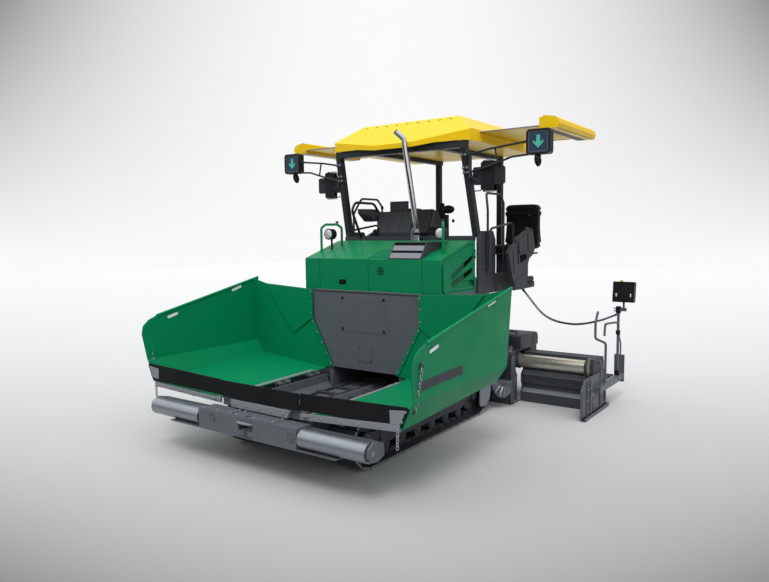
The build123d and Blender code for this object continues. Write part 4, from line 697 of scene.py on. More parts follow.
def hood():
    """Latch recess and round vent with painted shade in them, grille over a bed of painted shade beside the inlet, door
    louvres with painted shade in their depths and on their scoops, and the doors' handles.
    """
    face = -60.0
    # Dark plates painted as the shade inside the latch recess and the vent's slots.
    recess = [plate(rounded_box(86, 45, 9) + (-344, 1530), face - 1, face + 1, "y")]
    for z in (-36, -18, 0, 18, 36):
        half = math.sqrt(46 ** 2 - z ** 2) - 4
        recess.append(plate(pill((160 - half, 1654 + z), (160 + half, 1654 + z), 4.5), face - 1, face + 1, "y"))
    piece("hood_opening_shade", recess, DARK_GAP_AND_SHADE, "tractor")
    latch = [plate(rounded_box(96, 55, 12) + (-344, 1530), face - 3, face + 1, "y",
                   holes=[rounded_box(84, 43, 8) + (-344, 1530)]),
             bar((-368, face - 3, 1524), (-320, face + 1, 1537), 4)]
    piece("hood_latch", latch, BLACK, "tractor")
    y = np.array([-20.0, 250.0])
    z = hood_z(y)
    # Dark plate painted as the shade between and behind the grille's slats.
    bed = [plate([(y[0], z[0] - 4), (y[1], z[1] - 4), (y[1], z[1] + 1.2), (y[0], z[0] + 1.2)], -20, 246)]
    piece("grille_bed_shade", bed, DARK_GAP_AND_SHADE, "tractor")
    slats = []
    for start in np.arange(-14.0, 244.0, 24.0):
        low, high = hood_z(start), hood_z(start + 13)
        slats.append(plate([(start, low - 2), (start + 13, high - 2), (start + 10, high + 9), (start + 5, high + 9)],
                           -18, 244))
    piece("grille_slats", slats, GREEN, "tractor")
    for sign, side in BOTH:
        door = "hood_door_" + side
        # Each louvre gets a dark floor of painted shade in its depth, and a scoop in green paint with painted shade.
        shade_floors, blades = [], []
        for z0, z1 in ((1570, 1743), (1490, 1613), (1490, 1483)):
            line = [(174, z0 + 4), (591, z1 + 4), (609, z1 + 33), (591, z1 + 62), (174, z0 + 62), (154, z0 + 32)]
            if z1 > z0:
                shade_floors.append(plate(line, 860.8, 862.2))
                cut = 420.0
                rise = (z1 - z0) / 417.0
                low, high = z0 + 5 + (cut - 174) * rise, z0 + 60 + (cut - 174) * rise
                blade = plate([(174, z0 + 5), (cut, low), (cut + 30, (low + high) / 2), (cut, high), (174, z0 + 60),
                               (156, z0 + 32)], 861.0, 872.0)
                verts = blade[0].copy()
                share = np.clip((verts[:, 1] - 156.0) / (cut - 156.0), 0, 1)
                verts[:, 0] = np.where(verts[:, 0] > 870, 871.0 - 8.5 * share, verts[:, 0])
                blades.append((verts, blade[1]))
        piece("louvre_shade_" + side, sided(shade_floors, sign), DARK_GAP_AND_SHADE, door)
        piece("louvre_scoops_" + side, sided(blades, sign), GREEN_IN_SHADE, door)
        raised = [plate(rounded_box(112, 300, 40) + (32, 1590), 880, 893)]
        piece("door_swage_" + side, sided(raised, sign), GREEN, door, bevel=5)
        grip = [plate(pill((604, 1500), (604, 1540), 13), 884.5, 887),
                plate(pill((604, 1506), (604, 1534), 6), 887, 892)]
        piece("door_latch_" + side, sided(grip, sign), BLACK, door)


def intake():
    """Slanting face of the air inlet: silver slats, black gaps of painted shade between them and a dark frame."""
    foot = np.array([-50.0, 1780.1])
    along = unit(np.array([130.0, 171.9]))
    normal = np.array([-along[1], along[0]])

    def strip(s0, s1, d0, d1, x0=262.0, x1=633.0):
        """Plate on the slope from s0 to s1 along it and d0 to d1 out of it."""
        corners = [foot + along * s + normal * d for s, d in ((s0, d0), (s1, d0), (s1, d1), (s0, d1))]
        return plate(corners, x0, x1)

    # The gaps between the slats are a dark plate of painted shade.
    piece("intake_gap_shade", [strip(10, 202, 0.4, 1.4)], DARK_GAP_AND_SHADE, "tractor")
    piece("intake_slats", [strip(14, 78, 1, 6), strip(106, 170, 1, 6)], LIGHT_GREY, "tractor", bevel=1.5)
    frame_parts = [strip(2, 12, 0, 8, 252, 643), strip(203, 213, 0, 8, 252, 643), strip(2, 213, 0, 8, 250, 262),
                   strip(2, 213, 0, 8, 633, 645)]
    piece("intake_frame", frame_parts, ANTHRACITE, "tractor", bevel=1)


def lamps():
    """Rims, rear caps and clear lenses of the round work lamps, and the knob on each loop."""
    rims, lenses, knobs = [], [], []
    for sign in SIGNS:
        centre = (733, 176, 2040)
        rims += sided([lathe([(50, -1), (60, -3), (63, 2), (63, 14), (60, 18), (50, 18)], centre, "y", 32),
                       lathe([(44, 80), (40, 92), (18, 96), (0.5, 96)], centre, "y", 28)], sign)
        lenses += sided([lathe([(0.5, -12), (18, -11), (36, -8), (48, -3), (52, 0), (52, 3)], centre, "y", 32)], sign)
        knobs += sided([ball((700, 296, 2176), (20, 20, 13)), bar((694, 290, 2158), (706, 302, 2172), 3)], sign)
    piece("lamp_rims", rims, BLACK, "tractor")
    piece("lamp_lenses", lenses, GLASS, "tractor")
    piece("lamp_knobs", knobs, BLACK, "tractor")


def exhaust():
    """Mouth darkened with painted shade, dark sleeve, bright clamps and the stay under the roof of the exhaust pipe."""
    run = unit(np.array([-55.0, -80.0, 77.0]))
    mouth = np.array([150.0, 250.0, 3112.0])
    side = unit(np.cross(run, (0, 0, 1)))
    over = np.cross(side, run)
    ring = circle(1.0, 24)

    def disc(radius, level):
        """Ring of points at a level along the pipe's run."""
        return mouth + run * level + radius * (ring[:, :1] * side + ring[:, 1:] * over)

    # A dark disc just inside the lip, painted as the shade in the pipe's hollow.
    piece("exhaust_mouth_shade", [skin(np.stack([disc(27, -6), disc(27, 0.8)]))], DARK_GAP_AND_SHADE, "tractor")
    piece("exhaust_lip", [skin(np.stack([disc(28, -4), disc(33, -4), disc(33, 2), disc(28, 2)]), close_u=True)],
          CHROME, "tractor")
    piece("exhaust_sleeve", [lathe([(32, 0), (34, 0), (34, 64), (32, 64)], (210, 560, 1999), "z", 28),
                             bar((180, 575, 1962), (240, 640, 1990), 4)], BLACK, "tractor")
    clamps = [lathe([(34, 0), (37, 0), (37, 14), (34, 14)], (210, 560, z), "z", 28) for z in (2004, 2050)]
    elbow = tube([(128, 600, 1962), (128, 590, 2040), (150, 575, 2086), (186, 566, 2090)], 17, 34, (1, 0, 0))
    piece("exhaust_clamps", clamps + [elbow, bar((118, 586, 1962), (140, 612, 1985), 5)], ZINC, "tractor")
    stay = [bar((196, 346, 2930), (232, 372, 2950), 3), bar((206, 372, 2934), (222, 482, 2946), 3)]
    piece("exhaust_stay", stay, ANTHRACITE, "tractor")


# ---------------------------------------------------------------- roof, signals and mirrors
def post_centre(z):
    """Middle of a front post at a height: it leans forward and inward."""
    share = (z - 2010.0) / 907.0
    return 857.0 - 35.0 * share, 731.0 - 211.0 * share


def roof():
    """Dark fixings along the crown, bright rails of the side panels and a seal under the front edge."""
    marks = []
    for x in np.arange(-560.0, 570.0, 140.0):
        dot = lathe([(0.5, 1.6), (13, 1.4), (15, 0)], (0, 0, 0), "z", 14)
        dot = (dot[0] * (1.5, 0.6, 1.0), dot[1])
        marks.append(tipped((dot[0] + (x, 706, 3260.8), dot[1]), (x, 706, 3260.8), "X", 39.1))
    piece("roof_fixings", marks, ANTHRACITE, "tractor")
    for sign, side in BOTH:
        rails = [bar((893, y - 0.65, 3084.2), (1541, y + 0.65, 3096.8)) for y in (730.5, 1855.5)]
        rails.append(bar((900, 760, 3092.4), (1541, 1826, 3095), 1))
        piece("panel_rails_" + side, sided(rails, sign), LIGHT_GREY, "roof_panel_" + side)
        under = [plate([(1560, 3059), (1640, 3059), (1652, 3070), (1700, 3070), (1712, 3059), (1728, 3059),
                        (1728, 3061), (1560, 3061)], 760, 1830, "y")]
        piece("panel_shadow_" + side, sided(under, sign), ANTHRACITE, "roof_panel_" + side)
    seal = [bar((-760, 470, 2984), (760, 478, 2992), 1)]
    piece("roof_seal", seal, BLACK, "tractor")


def signals():
    """Rounded frames, arrows and lower lamps of the side signals, with the arms' clamps on the posts."""
    frames, bezels, arrows, horns, clamps, heads = [], [], [], [], [], []
    shift = np.array([1612.5, 2915.0])
    outer = rounded_box(247, 242, 34, 8)
    inner = rounded_box(207, 202, 20, 6)
    arrow = np.array([(-19, 62), (19, 62), (19, -8), (52, 12), (52, -10), (0, -62), (-52, -10), (-52, 12),
                      (-19, -8)]) + shift
    bezel = rounded_box(186, 182, 10, 4)
    for sign in SIGNS:
        frames += sided([plate(outer + shift, 536, 560, "y", holes=[inner + shift])], sign)
        bezels += sided([plate(inner + shift, 541, 546, "y", holes=[bezel + shift])], sign)
        arrows += sided([plate(arrow, 543.6, 545.2, "y")], sign)
        horn = tipped(ball((1592, 592, 2742), (33, 44, 66)), (1592, 592, 2742), "X", 22)
        horns += sided([horn, bar((1584, 584, 2770), (1600, 600, 2800), 3),
                        tube([(1560, 590, 2795), (1590, 586, 2780), (1625, 586, 2782)], 7, 12, (0, 1, 0))], sign)
        for z in (2664, 2712, 2842):
            x, y = post_centre(z)
            clamps += sided([bar((x - 37, y - 46, z - 15), (x + 44, y + 4, z + 15), 5)], sign)
            heads += sided(bolts([(x - 20, y - 46, z), (x + 22, y - 46, z)], "y", 8, -1), sign)
        x, y = post_centre(2740)
        clamps += sided([bar((x + 36, y - 30, 2600), (x + 50, y + 22, 2868), 4),
                         tube([(x + 44, y, 2620), (930, 560, 2590), (965, 592, 2560)], 7, 20, (0, 1, 0)),
                         tube([(x + 44, y + 10, 2486), (920, 570, 2470), (972, 600, 2474), (988, 604, 2500)], 6, 16,
                              (0, 1, 0))], sign)
    piece("signal_frames", frames, BLACK, "tractor", bevel=4)
    piece("signal_bezels", bezels, STEEL_GREY, "tractor", bevel=2)
    piece("signal_arrows", arrows, GREEN_LIGHT, "tractor")
    piece("signal_horns", horns, BLACK, "tractor")
    piece("arm_clamps", clamps, ANTHRACITE, "tractor", bevel=1.5)
    piece("clamp_bolts", heads, ZINC, "tractor", smooth=25)
    backs, glass = [], []
    for sign in SIGNS:
        middle = np.array([1054.0, 2625.0])
        backs += sided([plate(rounded_box(140, 300, 18) + middle, 595, 601, "y"),
                        plate(pill((985, 2500), (985, 2560), 11), 590, 601, "y"),
                        plate(pill((985, 2690), (985, 2750), 11), 590, 601, "y"),
                        bar((1000, 588, 2690), (1074, 600, 2722), 4)], sign)
        glass += sided([plate(rounded_box(166, 332, 20) + middle, 639.5, 641, "y")], sign)
    piece("mirror_backs", backs, BLACK, "tractor", bevel=2)
    piece("mirror_glass", glass, MIRROR, "tractor")


# ---------------------------------------------------------------- operator platform
def platform():
    """Dashboard's dark end, screens and keys, side control panel, hand rail, control stand and step grips."""
    hump = plate([(900, 1900), (848, 2046), (945, 2316), (1008, 2316), (1106, 2152), (1086, 1900)], -78, 176)
    piece("dash_end", [hump], BLACK, "tractor", bevel=14)
    seams = [bar((x, 886, 2078), (x + 5, 1004, 2104), 0.5) for x in (-430, -300, -170)]
    lines = [plate([(859, 2050), (861, 2049), (959, 2298), (957, 2299)], x, x + 3) for x in (-395, -235)]
    piece("dash_seams", lines + seams, BLACK, "tractor")
    screens = [plate(rounded_box(210, 96, 8) + (-300, 2361), 999, 1003, "y")]
    slope = math.degrees(math.atan2(152, 110))
    for x in (-470, -380, -290, -200):
        key = plate(rounded_box(60, 70, 8) + (x, 0), 0, 3, "z")
        screens.append(tipped((key[0] + (0, 1062, 2226), key[1]), (x, 1062, 2226), "X", -slope))
    piece("dash_screens", screens, SCREEN, "tractor")
    panel = plate([(-870, 2346), (-660, 2338), (-596, 2262), (-620, 2196), (-770, 2186), (-868, 2290)], 900, 1060,
                  "y")
    stalk = tube([(-700, 980, 1950), (-700, 980, 2190)], 26, sides=18)
    piece("side_panel_head", [panel, stalk], GREY_PLASTIC, "tractor", bevel=8)
    shade = plate([(-856, 2296), (-640, 2240), (-640, 2206), (-768, 2198)], 897, 901, "y")
    knob = ball((-548, 975, 2352), (19, 19, 24))
    piece("side_panel_shade", [shade, knob, bar((-553, 970, 2300), (-543, 980, 2340), 2)], BLACK, "tractor")
    rail = tube([(-640, 672, 1990), (-640, 496, 2310), (-640, 560, 2406), (-640, 930, 2402), (-640, 1018, 2310),
                 (-640, 1018, 1462)], 15, 46, (1, 0, 0), 16)
    piece("front_hand_rail", [rail], BLACK, "tractor")
    stand = [bar((-92, 1462, 1450), (64, 1540, 2262), 18), ball((72, 1500, 2326), (82, 56, 52)),
             bar((-60, 1470, 2240), (20, 1530, 2372), 14), ball((-20, 1500, 2388), (38, 34, 20)),
             ball((150, 1480, 2186), (18, 18, 22))]
    piece("control_stand", stand, BLACK, "tractor", bevel=5)
    grips = [bar((-850 + k * 170, 720, 1450), (-850 + k * 170 + 120, 1040, 1452), 1) for k in range(10)]
    treads = [bar((-860, y, 1450), (860, y + 6, 1453), 1) for y in np.arange(1120, 2080, 60)]
    piece("deck_treads", grips + treads, ANTHRACITE, "tractor")
    marks = []
    for sign in SIGNS:
        marks += sided([plate(rounded_box(58, 116, 6) + (842, 1860), 900, 902.4)], sign)
        marks += sided([lathe([(10, 0), (10, 3), (0.5, 4)], (901, 742, 1964), "x", 16)], sign)
    piece("panel_plates", marks, ANTHRACITE, "tractor", bevel=1)
    rolls = []
    for sign in SIGNS:
        rolls += sided([lathe([(12, -6), (33, 0), (33, 240), (12, 246)], (1010, 1600, 1490), "y", 24),
                        bar((960, 1590, 1390), (1045, 1850, 1462), 6)], sign)
    piece("side_rolls", rolls, BLACK, "tractor")


SEAT_POWER = 0.26                      # the lower, the squarer the cushions


def softened(value, power=SEAT_POWER):
    """Sign kept, size raised to the power."""
    return np.sign(value) * np.abs(value) ** power


def padded_block(half, power=SEAT_POWER, rows=61, sides=96):
    """Points of a soft block: a sphere's sines and cosines raised to a low power and scaled by the half sizes."""
    up = np.linspace(-math.pi / 2 + 0.004, math.pi / 2 - 0.004, rows)[:, None]
    about = (np.arange(sides) * 2 * math.pi / sides)[None]
    return np.stack([half[0] * softened(np.cos(up), power) * softened(np.cos(about), power),
                     half[1] * softened(np.cos(up), power) * softened(np.sin(about), power),
                     half[2] * softened(np.sin(up), power) * np.ones_like(about)], -1)


def seats():
    """Seat cushions with sewn channels and ribbed back rests, in place of the plain blocks."""
    for sign, side in BOTH:
        base = padded_block((190, 224, 49))
        x, y, z = np.moveaxis(base, -1, 0)
        crown = 1 - 0.10 * (x / 190) ** 2 - 0.12 * (y / 224) ** 2
        groove = sum(np.exp(-((y - k) / 9.0) ** 2) for k in (-110, 0, 110)) + np.exp(-((np.abs(x) - 128) / 9.0) ** 2)
        z = np.where(z > 0, z * crown - 9 * np.clip(groove, 0, 1) * (z > 20), z)
        grid = np.stack([x + 840, y + 1715, z + 1850], -1)
        cushion = piece("seat_base_" + side, sided([skin(grid)], sign), PADDING, "tractor", smooth=80)
        back = padded_block((219, 62, 269))
        x, y, z = np.moveaxis(back, -1, 0)
        rib = np.exp(-(((z + 300) % 66 - 33) / 11.0) ** 2) * (np.abs(z) < 250)
        x, y = x * (1 - 0.06 * rib), y * (1 - 0.3 * rib)
        lean = 12 * (z / 269) ** 2
        grid = np.stack([x + 832.5, y + 1997 - lean * 0.3, z + 2105], -1)
        rest = piece("seat_back_" + side, sided([skin(grid)], sign), PADDING, "tractor", smooth=80)
        for soft in (cushion, rest):
            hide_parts("seat_cushions")
        a = np.arange(72) * 2 * math.pi / 72
        edge = np.stack([softened(np.cos(a)) * 191 + 840, softened(np.sin(a)) * 225 + 1715, np.full(72, 1850.0)], -1)
        piece("seat_piping_" + side, sided([sweep(edge, circle(4, 8), close=True)], sign), BLACK, "tractor")
        covers = [plate([(1130, 1840), (1206, 1872), (1232, 1640), (1160, 1590)], 1094, 1104),
                  plate([(1262, 1950), (1478, 2022), (1502, 1842), (1292, 1800)], 1094, 1106),
                  plate([(1520, 2030), (1646, 2052), (1690, 1905), (1636, 1806), (1532, 1842)], 1094, 1105),
                  plate([(1160, 1506), (1462, 1570), (1478, 1436), (1186, 1424)], 1094, 1103),
                  ball((1076, 1176, 1888), (22, 58, 36)), ball((1076, 1560, 2066), (22, 62, 34))]
        piece("arm_covers_" + side, sided(covers, sign), GREY_PLASTIC, "tractor", bevel=7)
        gaps = [plate([(1238, 1880), (1254, 1886), (1282, 1690), (1262, 1676)], 1095, 1097.5),
                plate([(1300, 1780), (1480, 1800), (1500, 1740), (1330, 1700)], 1095, 1097.5)]
        piece("arm_gaps_" + side, sided(gaps, sign), DARK_GAP_AND_SHADE, "tractor")
        lights = [ball((936, 1938, 2246), (17, 10, 15))]
        piece("seat_switch_" + side, sided(lights, sign), LENS_BLUE, "tractor")
        amber = [ball((985, 1690, 2010), (12, 16, 18))]
        piece("seat_mark_" + side, sided(amber, sign), AMBER, "tractor")


# ---------------------------------------------------------------- tracks
TRACK_Y, TRACK_R = (-1110.0, 900.0), 250.0
SHOES, SHOE_T, SHOE_GAP = 43, 28.0, 12.0


def loop_point(s, radius):
    """Points (y, z) at runs s along the track's loop: two straights joined by half circles of the radius."""
    straight = TRACK_Y[1] - TRACK_Y[0]
    mean = TRACK_R - SHOE_T / 2
    arc = math.pi * mean
    s = np.mod(s, 2 * straight + 2 * arc)
    rear = -math.pi / 2 + (s - straight) / mean
    front = math.pi / 2 + (s - 2 * straight - arc) / mean
    parts = [s < straight, s < straight + arc, s < 2 * straight + arc]
    y = np.select(parts, [TRACK_Y[0] + s, TRACK_Y[1] + radius * np.cos(rear), TRACK_Y[1] - (s - straight - arc)],
                  TRACK_Y[0] + radius * np.cos(front))
    z = np.select(parts, [TRACK_R - radius + 0 * s, TRACK_R + radius * np.sin(rear), TRACK_R + radius + 0 * s],
                  TRACK_R + radius * np.sin(front))
    return y, z


def loop_boxes(corners, x0, x1):
    """A box across the machine on each row of four corners (y, z)."""
    verts = np.empty((len(corners), 2, 4, 3))
    verts[..., 0] = np.array([x0, x1])[None, :, None]
    verts[..., 1:] = corners[:, None]
    box = [[0, 1, 2, 3], [7, 6, 5, 4], [0, 4, 5, 1], [1, 5, 6, 2], [2, 6, 7, 3], [3, 7, 4, 0]]
    return verts.reshape(-1, 3), [[v + 8 * k for v in f] for k in range(len(corners)) for f in box]


def loop_corners(places):
    """Rows of four corners (y, z) from four pairs of runs along the loop and a radius."""
    return np.stack([np.stack(loop_point(s, radius), -1) for s, radius in places], 1)


def bolt_circle(x, y, z, radius, count=8):
    """Places at equal steps round a circle that faces across the machine."""
    return [(x, y + radius * math.cos(a), z + radius * math.sin(a)) for a in np.arange(count) * 2 * math.pi / count]


def tracks():
    """Worn bright ends of the shoes, chain links inside the loop and bolted covers on the wheels."""
    straight = TRACK_Y[1] - TRACK_Y[0]
    total = 2 * straight + 2 * math.pi * (TRACK_R - SHOE_T / 2)
    pitch = total / SHOES
    start = np.arange(SHOES) * pitch
    low = TRACK_R - SHOE_T + 7
    far = pitch - SHOE_GAP - 2
    shoes = loop_corners([(start + 2, low), (start + 2, TRACK_R - 1), (start + far, TRACK_R - 1), (start + far, low)])
    mid, half = start + (pitch - SHOE_GAP) / 2, 34.0
    inner = TRACK_R - SHOE_T - 37.0
    rows = loop_corners([(mid - half, inner), (mid + half, inner), (mid + half, inner + 30), (mid - half, inner + 30)])
    for sign, side in BOTH:
        ends = [loop_boxes(shoes, x0, x1) for x0, x1 in ((789.5, 793.5), (516.5, 520.5))]
        piece("shoe_ends_" + side, sided(ends, sign), PAD, "tractor")
        links = [loop_boxes(rows, x0, x1) for x0, x1 in ((604, 616), (694, 706))]
        piece("chain_links_" + side, sided(links, sign), TRACK, "tractor")
        covers, heads = [], []
        for y in TRACK_Y:
            covers.append(lathe([(58, 0), (58, 5), (44, 9), (18, 10), (16, 6), (0.5, 6)], (747, y, TRACK_R), "x", 32))
            heads += bolts(bolt_circle(752, y, TRACK_R, 50), "x", 5)
        for y in np.arange(6) * 270.0 - 780.0:
            covers.append(lathe([(30, 0), (30, 6), (12, 9), (0.5, 9)], (721, y, 123), "x", 24))
        piece("wheel_covers_" + side, sided(covers, sign), ANTHRACITE, "tractor")
        piece("wheel_bolts_" + side, sided(heads, sign), ZINC, "tractor", smooth=25)


# ---------------------------------------------------------------- screed
EXT_FRONT_Y = 1786.0                   # front face of an extension
GUIDE_Y, GUIDE_Z = 1750.0, 508.0       # axis of an extension's guide
DISC_X = 1763.0                        # face that the disc round the guide's outer end stands on
END_X, POST_X = 1828.0, 1858.0         # outer face of an end plate, and the middle of its console's post
CONSOLE_X, CONSOLE_T = 1793.0, 70.0    # inner end of a console's faces, and the distance between them


def screed_covers():
    """Black end panel painted as the shade on each cover's end face, hand hold, lid seams and lower rear box of each
    drive cover of the basic screed.
    """
    for sign, side in BOTH:
        box = [bar((486, 2138, 476), (884, 2330, 623.5), 5)]
        end = [plate([(2150, 640), (2150, 742), (2170, 766), (2240, 766), (2300, 742), (2316, 706), (2316, 640)], 898.6,
                     902)]
        grip = [tube([(620, 1900, 788), (620, 1900, 826), (800, 1900, 826), (800, 1900, 788)], 9, 18, (0, 1, 0))]
        lids = [bar((500, 1850, 789.6), (870, 1853, 791)), bar((500, 2236, 789.6), (870, 2239, 791)),
                bar((500, 1850, 789.6), (503, 2239, 791)), bar((867, 1850, 789.6), (870, 2239, 791))]
        piece("cover_box_" + side, sided(box, sign), ANTHRACITE, "screed", bevel=4)
        # The black end plate is painted shade on the cover's end face.
        piece("cover_end_shade_" + side, sided(end, sign), BLACK, "screed", bevel=1.5)
        piece("cover_grip_" + side, sided(grip, sign), ANTHRACITE, "screed")
        piece("cover_lid_" + side, sided(lids, sign), DARK_GAP_AND_SHADE, "screed")


def screed():
    """Edge plates, walkway treads, hoses and fixings of the basic screed and of its tow arms."""
    plates, strips, heads = [], [], []
    for sign in SIGNS:
        plates += sided([plate([(1530, 16), (1606, 16), (1640, 60), (1640, 560), (1580, 590), (1544, 560),
                                (1530, 90)], 893, 903)], sign)
        strips += sided([bar((874, 1544, 14), (903, 1700, 30), 4), bar((868.2, 1180, 600), (874, 1500, 622), 2)], sign)
        heads += sided(bolts([(868.3, y, z) for y, z in ((-170, 430), (520, 520), (700, 530), (1560, 640),
                                                         (1600, 660), (1600, 620))], "x", 12), sign)
    piece("screed_edges", plates, STEEL_GREY, "screed", bevel=3)
    piece("screed_strips", strips, LIGHT_GREY, "screed", bevel=2)
    piece("tow_arm_bolts", heads, ZINC, "screed", smooth=25)
    treads = [bar((-870, y, 349), (870, y + 8, 353), 1) for y in np.arange(2150, 2470, 32)]
    top = [bar((-860, y, 623), (860, y + 8, 627), 1) for y in np.arange(1680, 2110, 36)]
    piece("walkway_treads", treads + top, ANTHRACITE, "screed")
    hoses = []
    for sign in SIGNS:
        for k, x in enumerate((560, 600)):
            hoses += sided([tube([(x, 1548, 500 - 40 * k), (x, 1500 - 10 * k, 560), (x - 60, 1540, 640),
                                  (x - 120, 1640, 648), (x - 160, 1700, 640)], 13, 60, (1, 0, 0), 12)], sign)
    piece("screed_hoses", hoses, RUBBER, "screed")
    for sign, side in BOTH:
        extension(sign, side)


def extension(sign, side):
    """Guide, light bands painted as highlights on the front's sloped faces, treads, end plate, hooked rods and clamps
    of one extension, and its remote console.
    """
    body = "extension_" + side
    sleeve = lathe([(75.02, 0), (75.14, 1), (75.14, 790), (75.02, 791)], (925, GUIDE_Y, GUIDE_Z), "x", 96)
    piece("guide_sleeve_" + side, sided([sleeve], sign), GUIDE, body, smooth=50)
    y = EXT_FRONT_Y
    # Light grey bands painted as the highlights on the front's sloped faces.
    bands = [plate([(y - 2, 119), (y + 28.5, 150), (y + 28.5, 166), (y + 33, 166), (y + 33, 148), (y + 2, 117)], 930,
                   1795),
             plate([(y + 7, 329), (y + 59, 381), (y + 62, 379), (y + 10, 327)], 930, 1795)]
    piece("extension_highlight_bands_" + side, sided(bands, sign), LIGHT_GREY, body)
    disc = [lathe([(26, 0), (30, 3), (100, 3), (106, 0), (106, -2), (26, -2)], (DISC_X, GUIDE_Y, GUIDE_Z), "x",
                  48)]
    piece("guide_disc_" + side, sided(disc, sign), SPECKLED, body)
    ring = [lathe([(75.4, 0), (82, 0), (82, 20), (75.4, 20)], (1716, GUIDE_Y, GUIDE_Z), "x", 40)]
    piece("guide_collars_" + side, sided(ring, sign), ANTHRACITE, body)
    turn = np.radians(np.linspace(100, 260, 17))
    arc = [(GUIDE_Y + r * math.cos(a), GUIDE_Z + r * math.sin(a))
           for r, turns in ((98, turn), (76.5, turn[::-1])) for a in turns]
    piece("guide_gland_" + side, sided([plate(arc, 901, 932)], sign), ANTHRACITE, "screed", bevel=2)
    # Dark discs painted as the shade in the disc's bolt holes and middle hole.
    holes = [lathe([(9, 0), (9, 0.8), (0.5, 0.8)], place, "x", 14)
             for place in bolt_circle(DISC_X + 3, GUIDE_Y, GUIDE_Z, 82)]
    holes.append(lathe([(20, 0), (20, 1), (0.5, 1)], (DISC_X + 1, GUIDE_Y, GUIDE_Z), "x", 20))
    piece("guide_hole_shade_" + side, sided(holes, sign), DARK_GAP_AND_SHADE, body)
    treads = [bar((930, y, 301), (1800, y + 8, 305), 1) for y in np.arange(2140, 2490, 32)]
    piece("footboard_treads_" + side, sided(treads, sign), ANTHRACITE, body)
    out = END_X
    steps = [plate([(1318, 50), (1332, 24), (1410, 24), (1410, 425), (1330, 330)], out - 1, out + 4),
             bar((out, 1300, 20), (out + 30, 2130, 34), 4),
             plate([(1700, 226), (1770, 226), (1770, 306), (1700, 306)], out + 56, out + 72),
             bar((out, 1900, 60), (out + 16, 1916, 232), 2), bar((out, 2060, 60), (out + 16, 2076, 232), 2)]
    piece("end_plate_bands_" + side, sided(steps, sign), STEEL_GREY, body, bevel=2)
    strap = [bar((out + 1, 1560, 60), (out + 5, 1700, 200), 2),
             bar((out - 40, 2600, 200), (out + 58, 2656, 226), 3)]
    piece("end_plate_straps_" + side, sided(strap, sign), ANTHRACITE, body, bevel=1.5)
    heads = bolts([(out + 24, y + 7, z) for y in (1420, 1520) for z in (90, 210, 330)], "x", 8)
    heads += bolts([(out + 60, y, 266) for y in (1830, 1990, 2150, 2310, 2470)], "x", 8)
    heads += bolts([(x, 2668, z) for x in (out - 30, out + 34) for z in (260, 470)], "y", 8)
    piece("extension_bolts_" + side, sided(heads, sign), ZINC, body, smooth=25)
    arm = [(POST_X, y, z) for y, z in ((2478, 925), (2400, 955), (2010, 985), (1958, 975), (1945, 850))]
    rods = [tube([(out + 46, 2540, 296), (out + 46, 2540, 700), (out + 38, 2500, 760), (out + 46, 2470, 800)], 9, 24,
                 (1, 0, 0)),
            tube([(out + 60, 1740, 300), (out + 60, 1740, 560), (out + 30, 1760, 610), (out + 24, 1800, 560)], 10, 26,
                 (1, 0, 0)),
            tube(arm, 13, 45, (1, 0, 0))]
    piece("hooked_rods_" + side, sided(rods, sign), STEEL_GREY, body)
    clamp = [bar((POST_X - 26, 2452, 1060), (POST_X + 26, 2508, 1140), 6),
             bar((POST_X - 22, 2456, 800), (POST_X + 22, 2504, 850), 5),
             bar((POST_X - 24, 2454, 296), (POST_X + 24, 2506, 360), 5)]
    piece("post_clamps_" + side, sided(clamp, sign), BLACK, body, bevel=2)
    wings = []
    for z in (1085, 1116):
        wings.append(lathe([(7, 0), (7, 26), (0.5, 27)], (POST_X - 52, 2470, z), "x", 12))
        wings.append(bar((POST_X - 58, 2452, z - 4), (POST_X - 50, 2488, z + 4), 3))
    piece("wing_screws_" + side, sided(wings, sign), ZINC, body)
    consoles(sign, side, body)


CORD_ROUTE = ((1.075, 1.067, 1.372), (1.131, 1.158, 1.248), (1.218, 1.268, 1.086), (1.327, 1.407, 0.994),
              (1.475, 1.596, 0.946), (1.587, 1.738, 0.952), (1.662, 1.834, 0.968), (1.757, 1.953, 0.997),
              (1.833, 2.036, 1.038))
WIRE_R, CURL_R, CURL_PITCH = 4.6, 9.0, 15.0


def cord_line():
    """Points of the hanging cord's route: the curve that a NURBS spline makes of the route's few points."""
    curve = bpy.data.curves.new("cord_route", "CURVE")
    curve.dimensions = "3D"
    spline = curve.splines.new("NURBS")
    spline.points.add(len(CORD_ROUTE) - 1)
    for point, place in zip(spline.points, CORD_ROUTE):
        point.co = (*place, 1.0)
    spline.order_u = 3
    spline.use_endpoint_u = True
    spline.resolution_u = 24
    holder = bpy.data.objects.new("cord_route", curve)
    mesh = bpy.data.meshes.new_from_object(holder)
    line = np.array([v.co for v in mesh.vertices], float).reshape(-1, 3)
    bpy.data.meshes.remove(mesh)
    bpy.data.objects.remove(holder)
    bpy.data.curves.remove(curve)
    return line * 1000.0 + (0.0, DATUM_Y, 0.0)


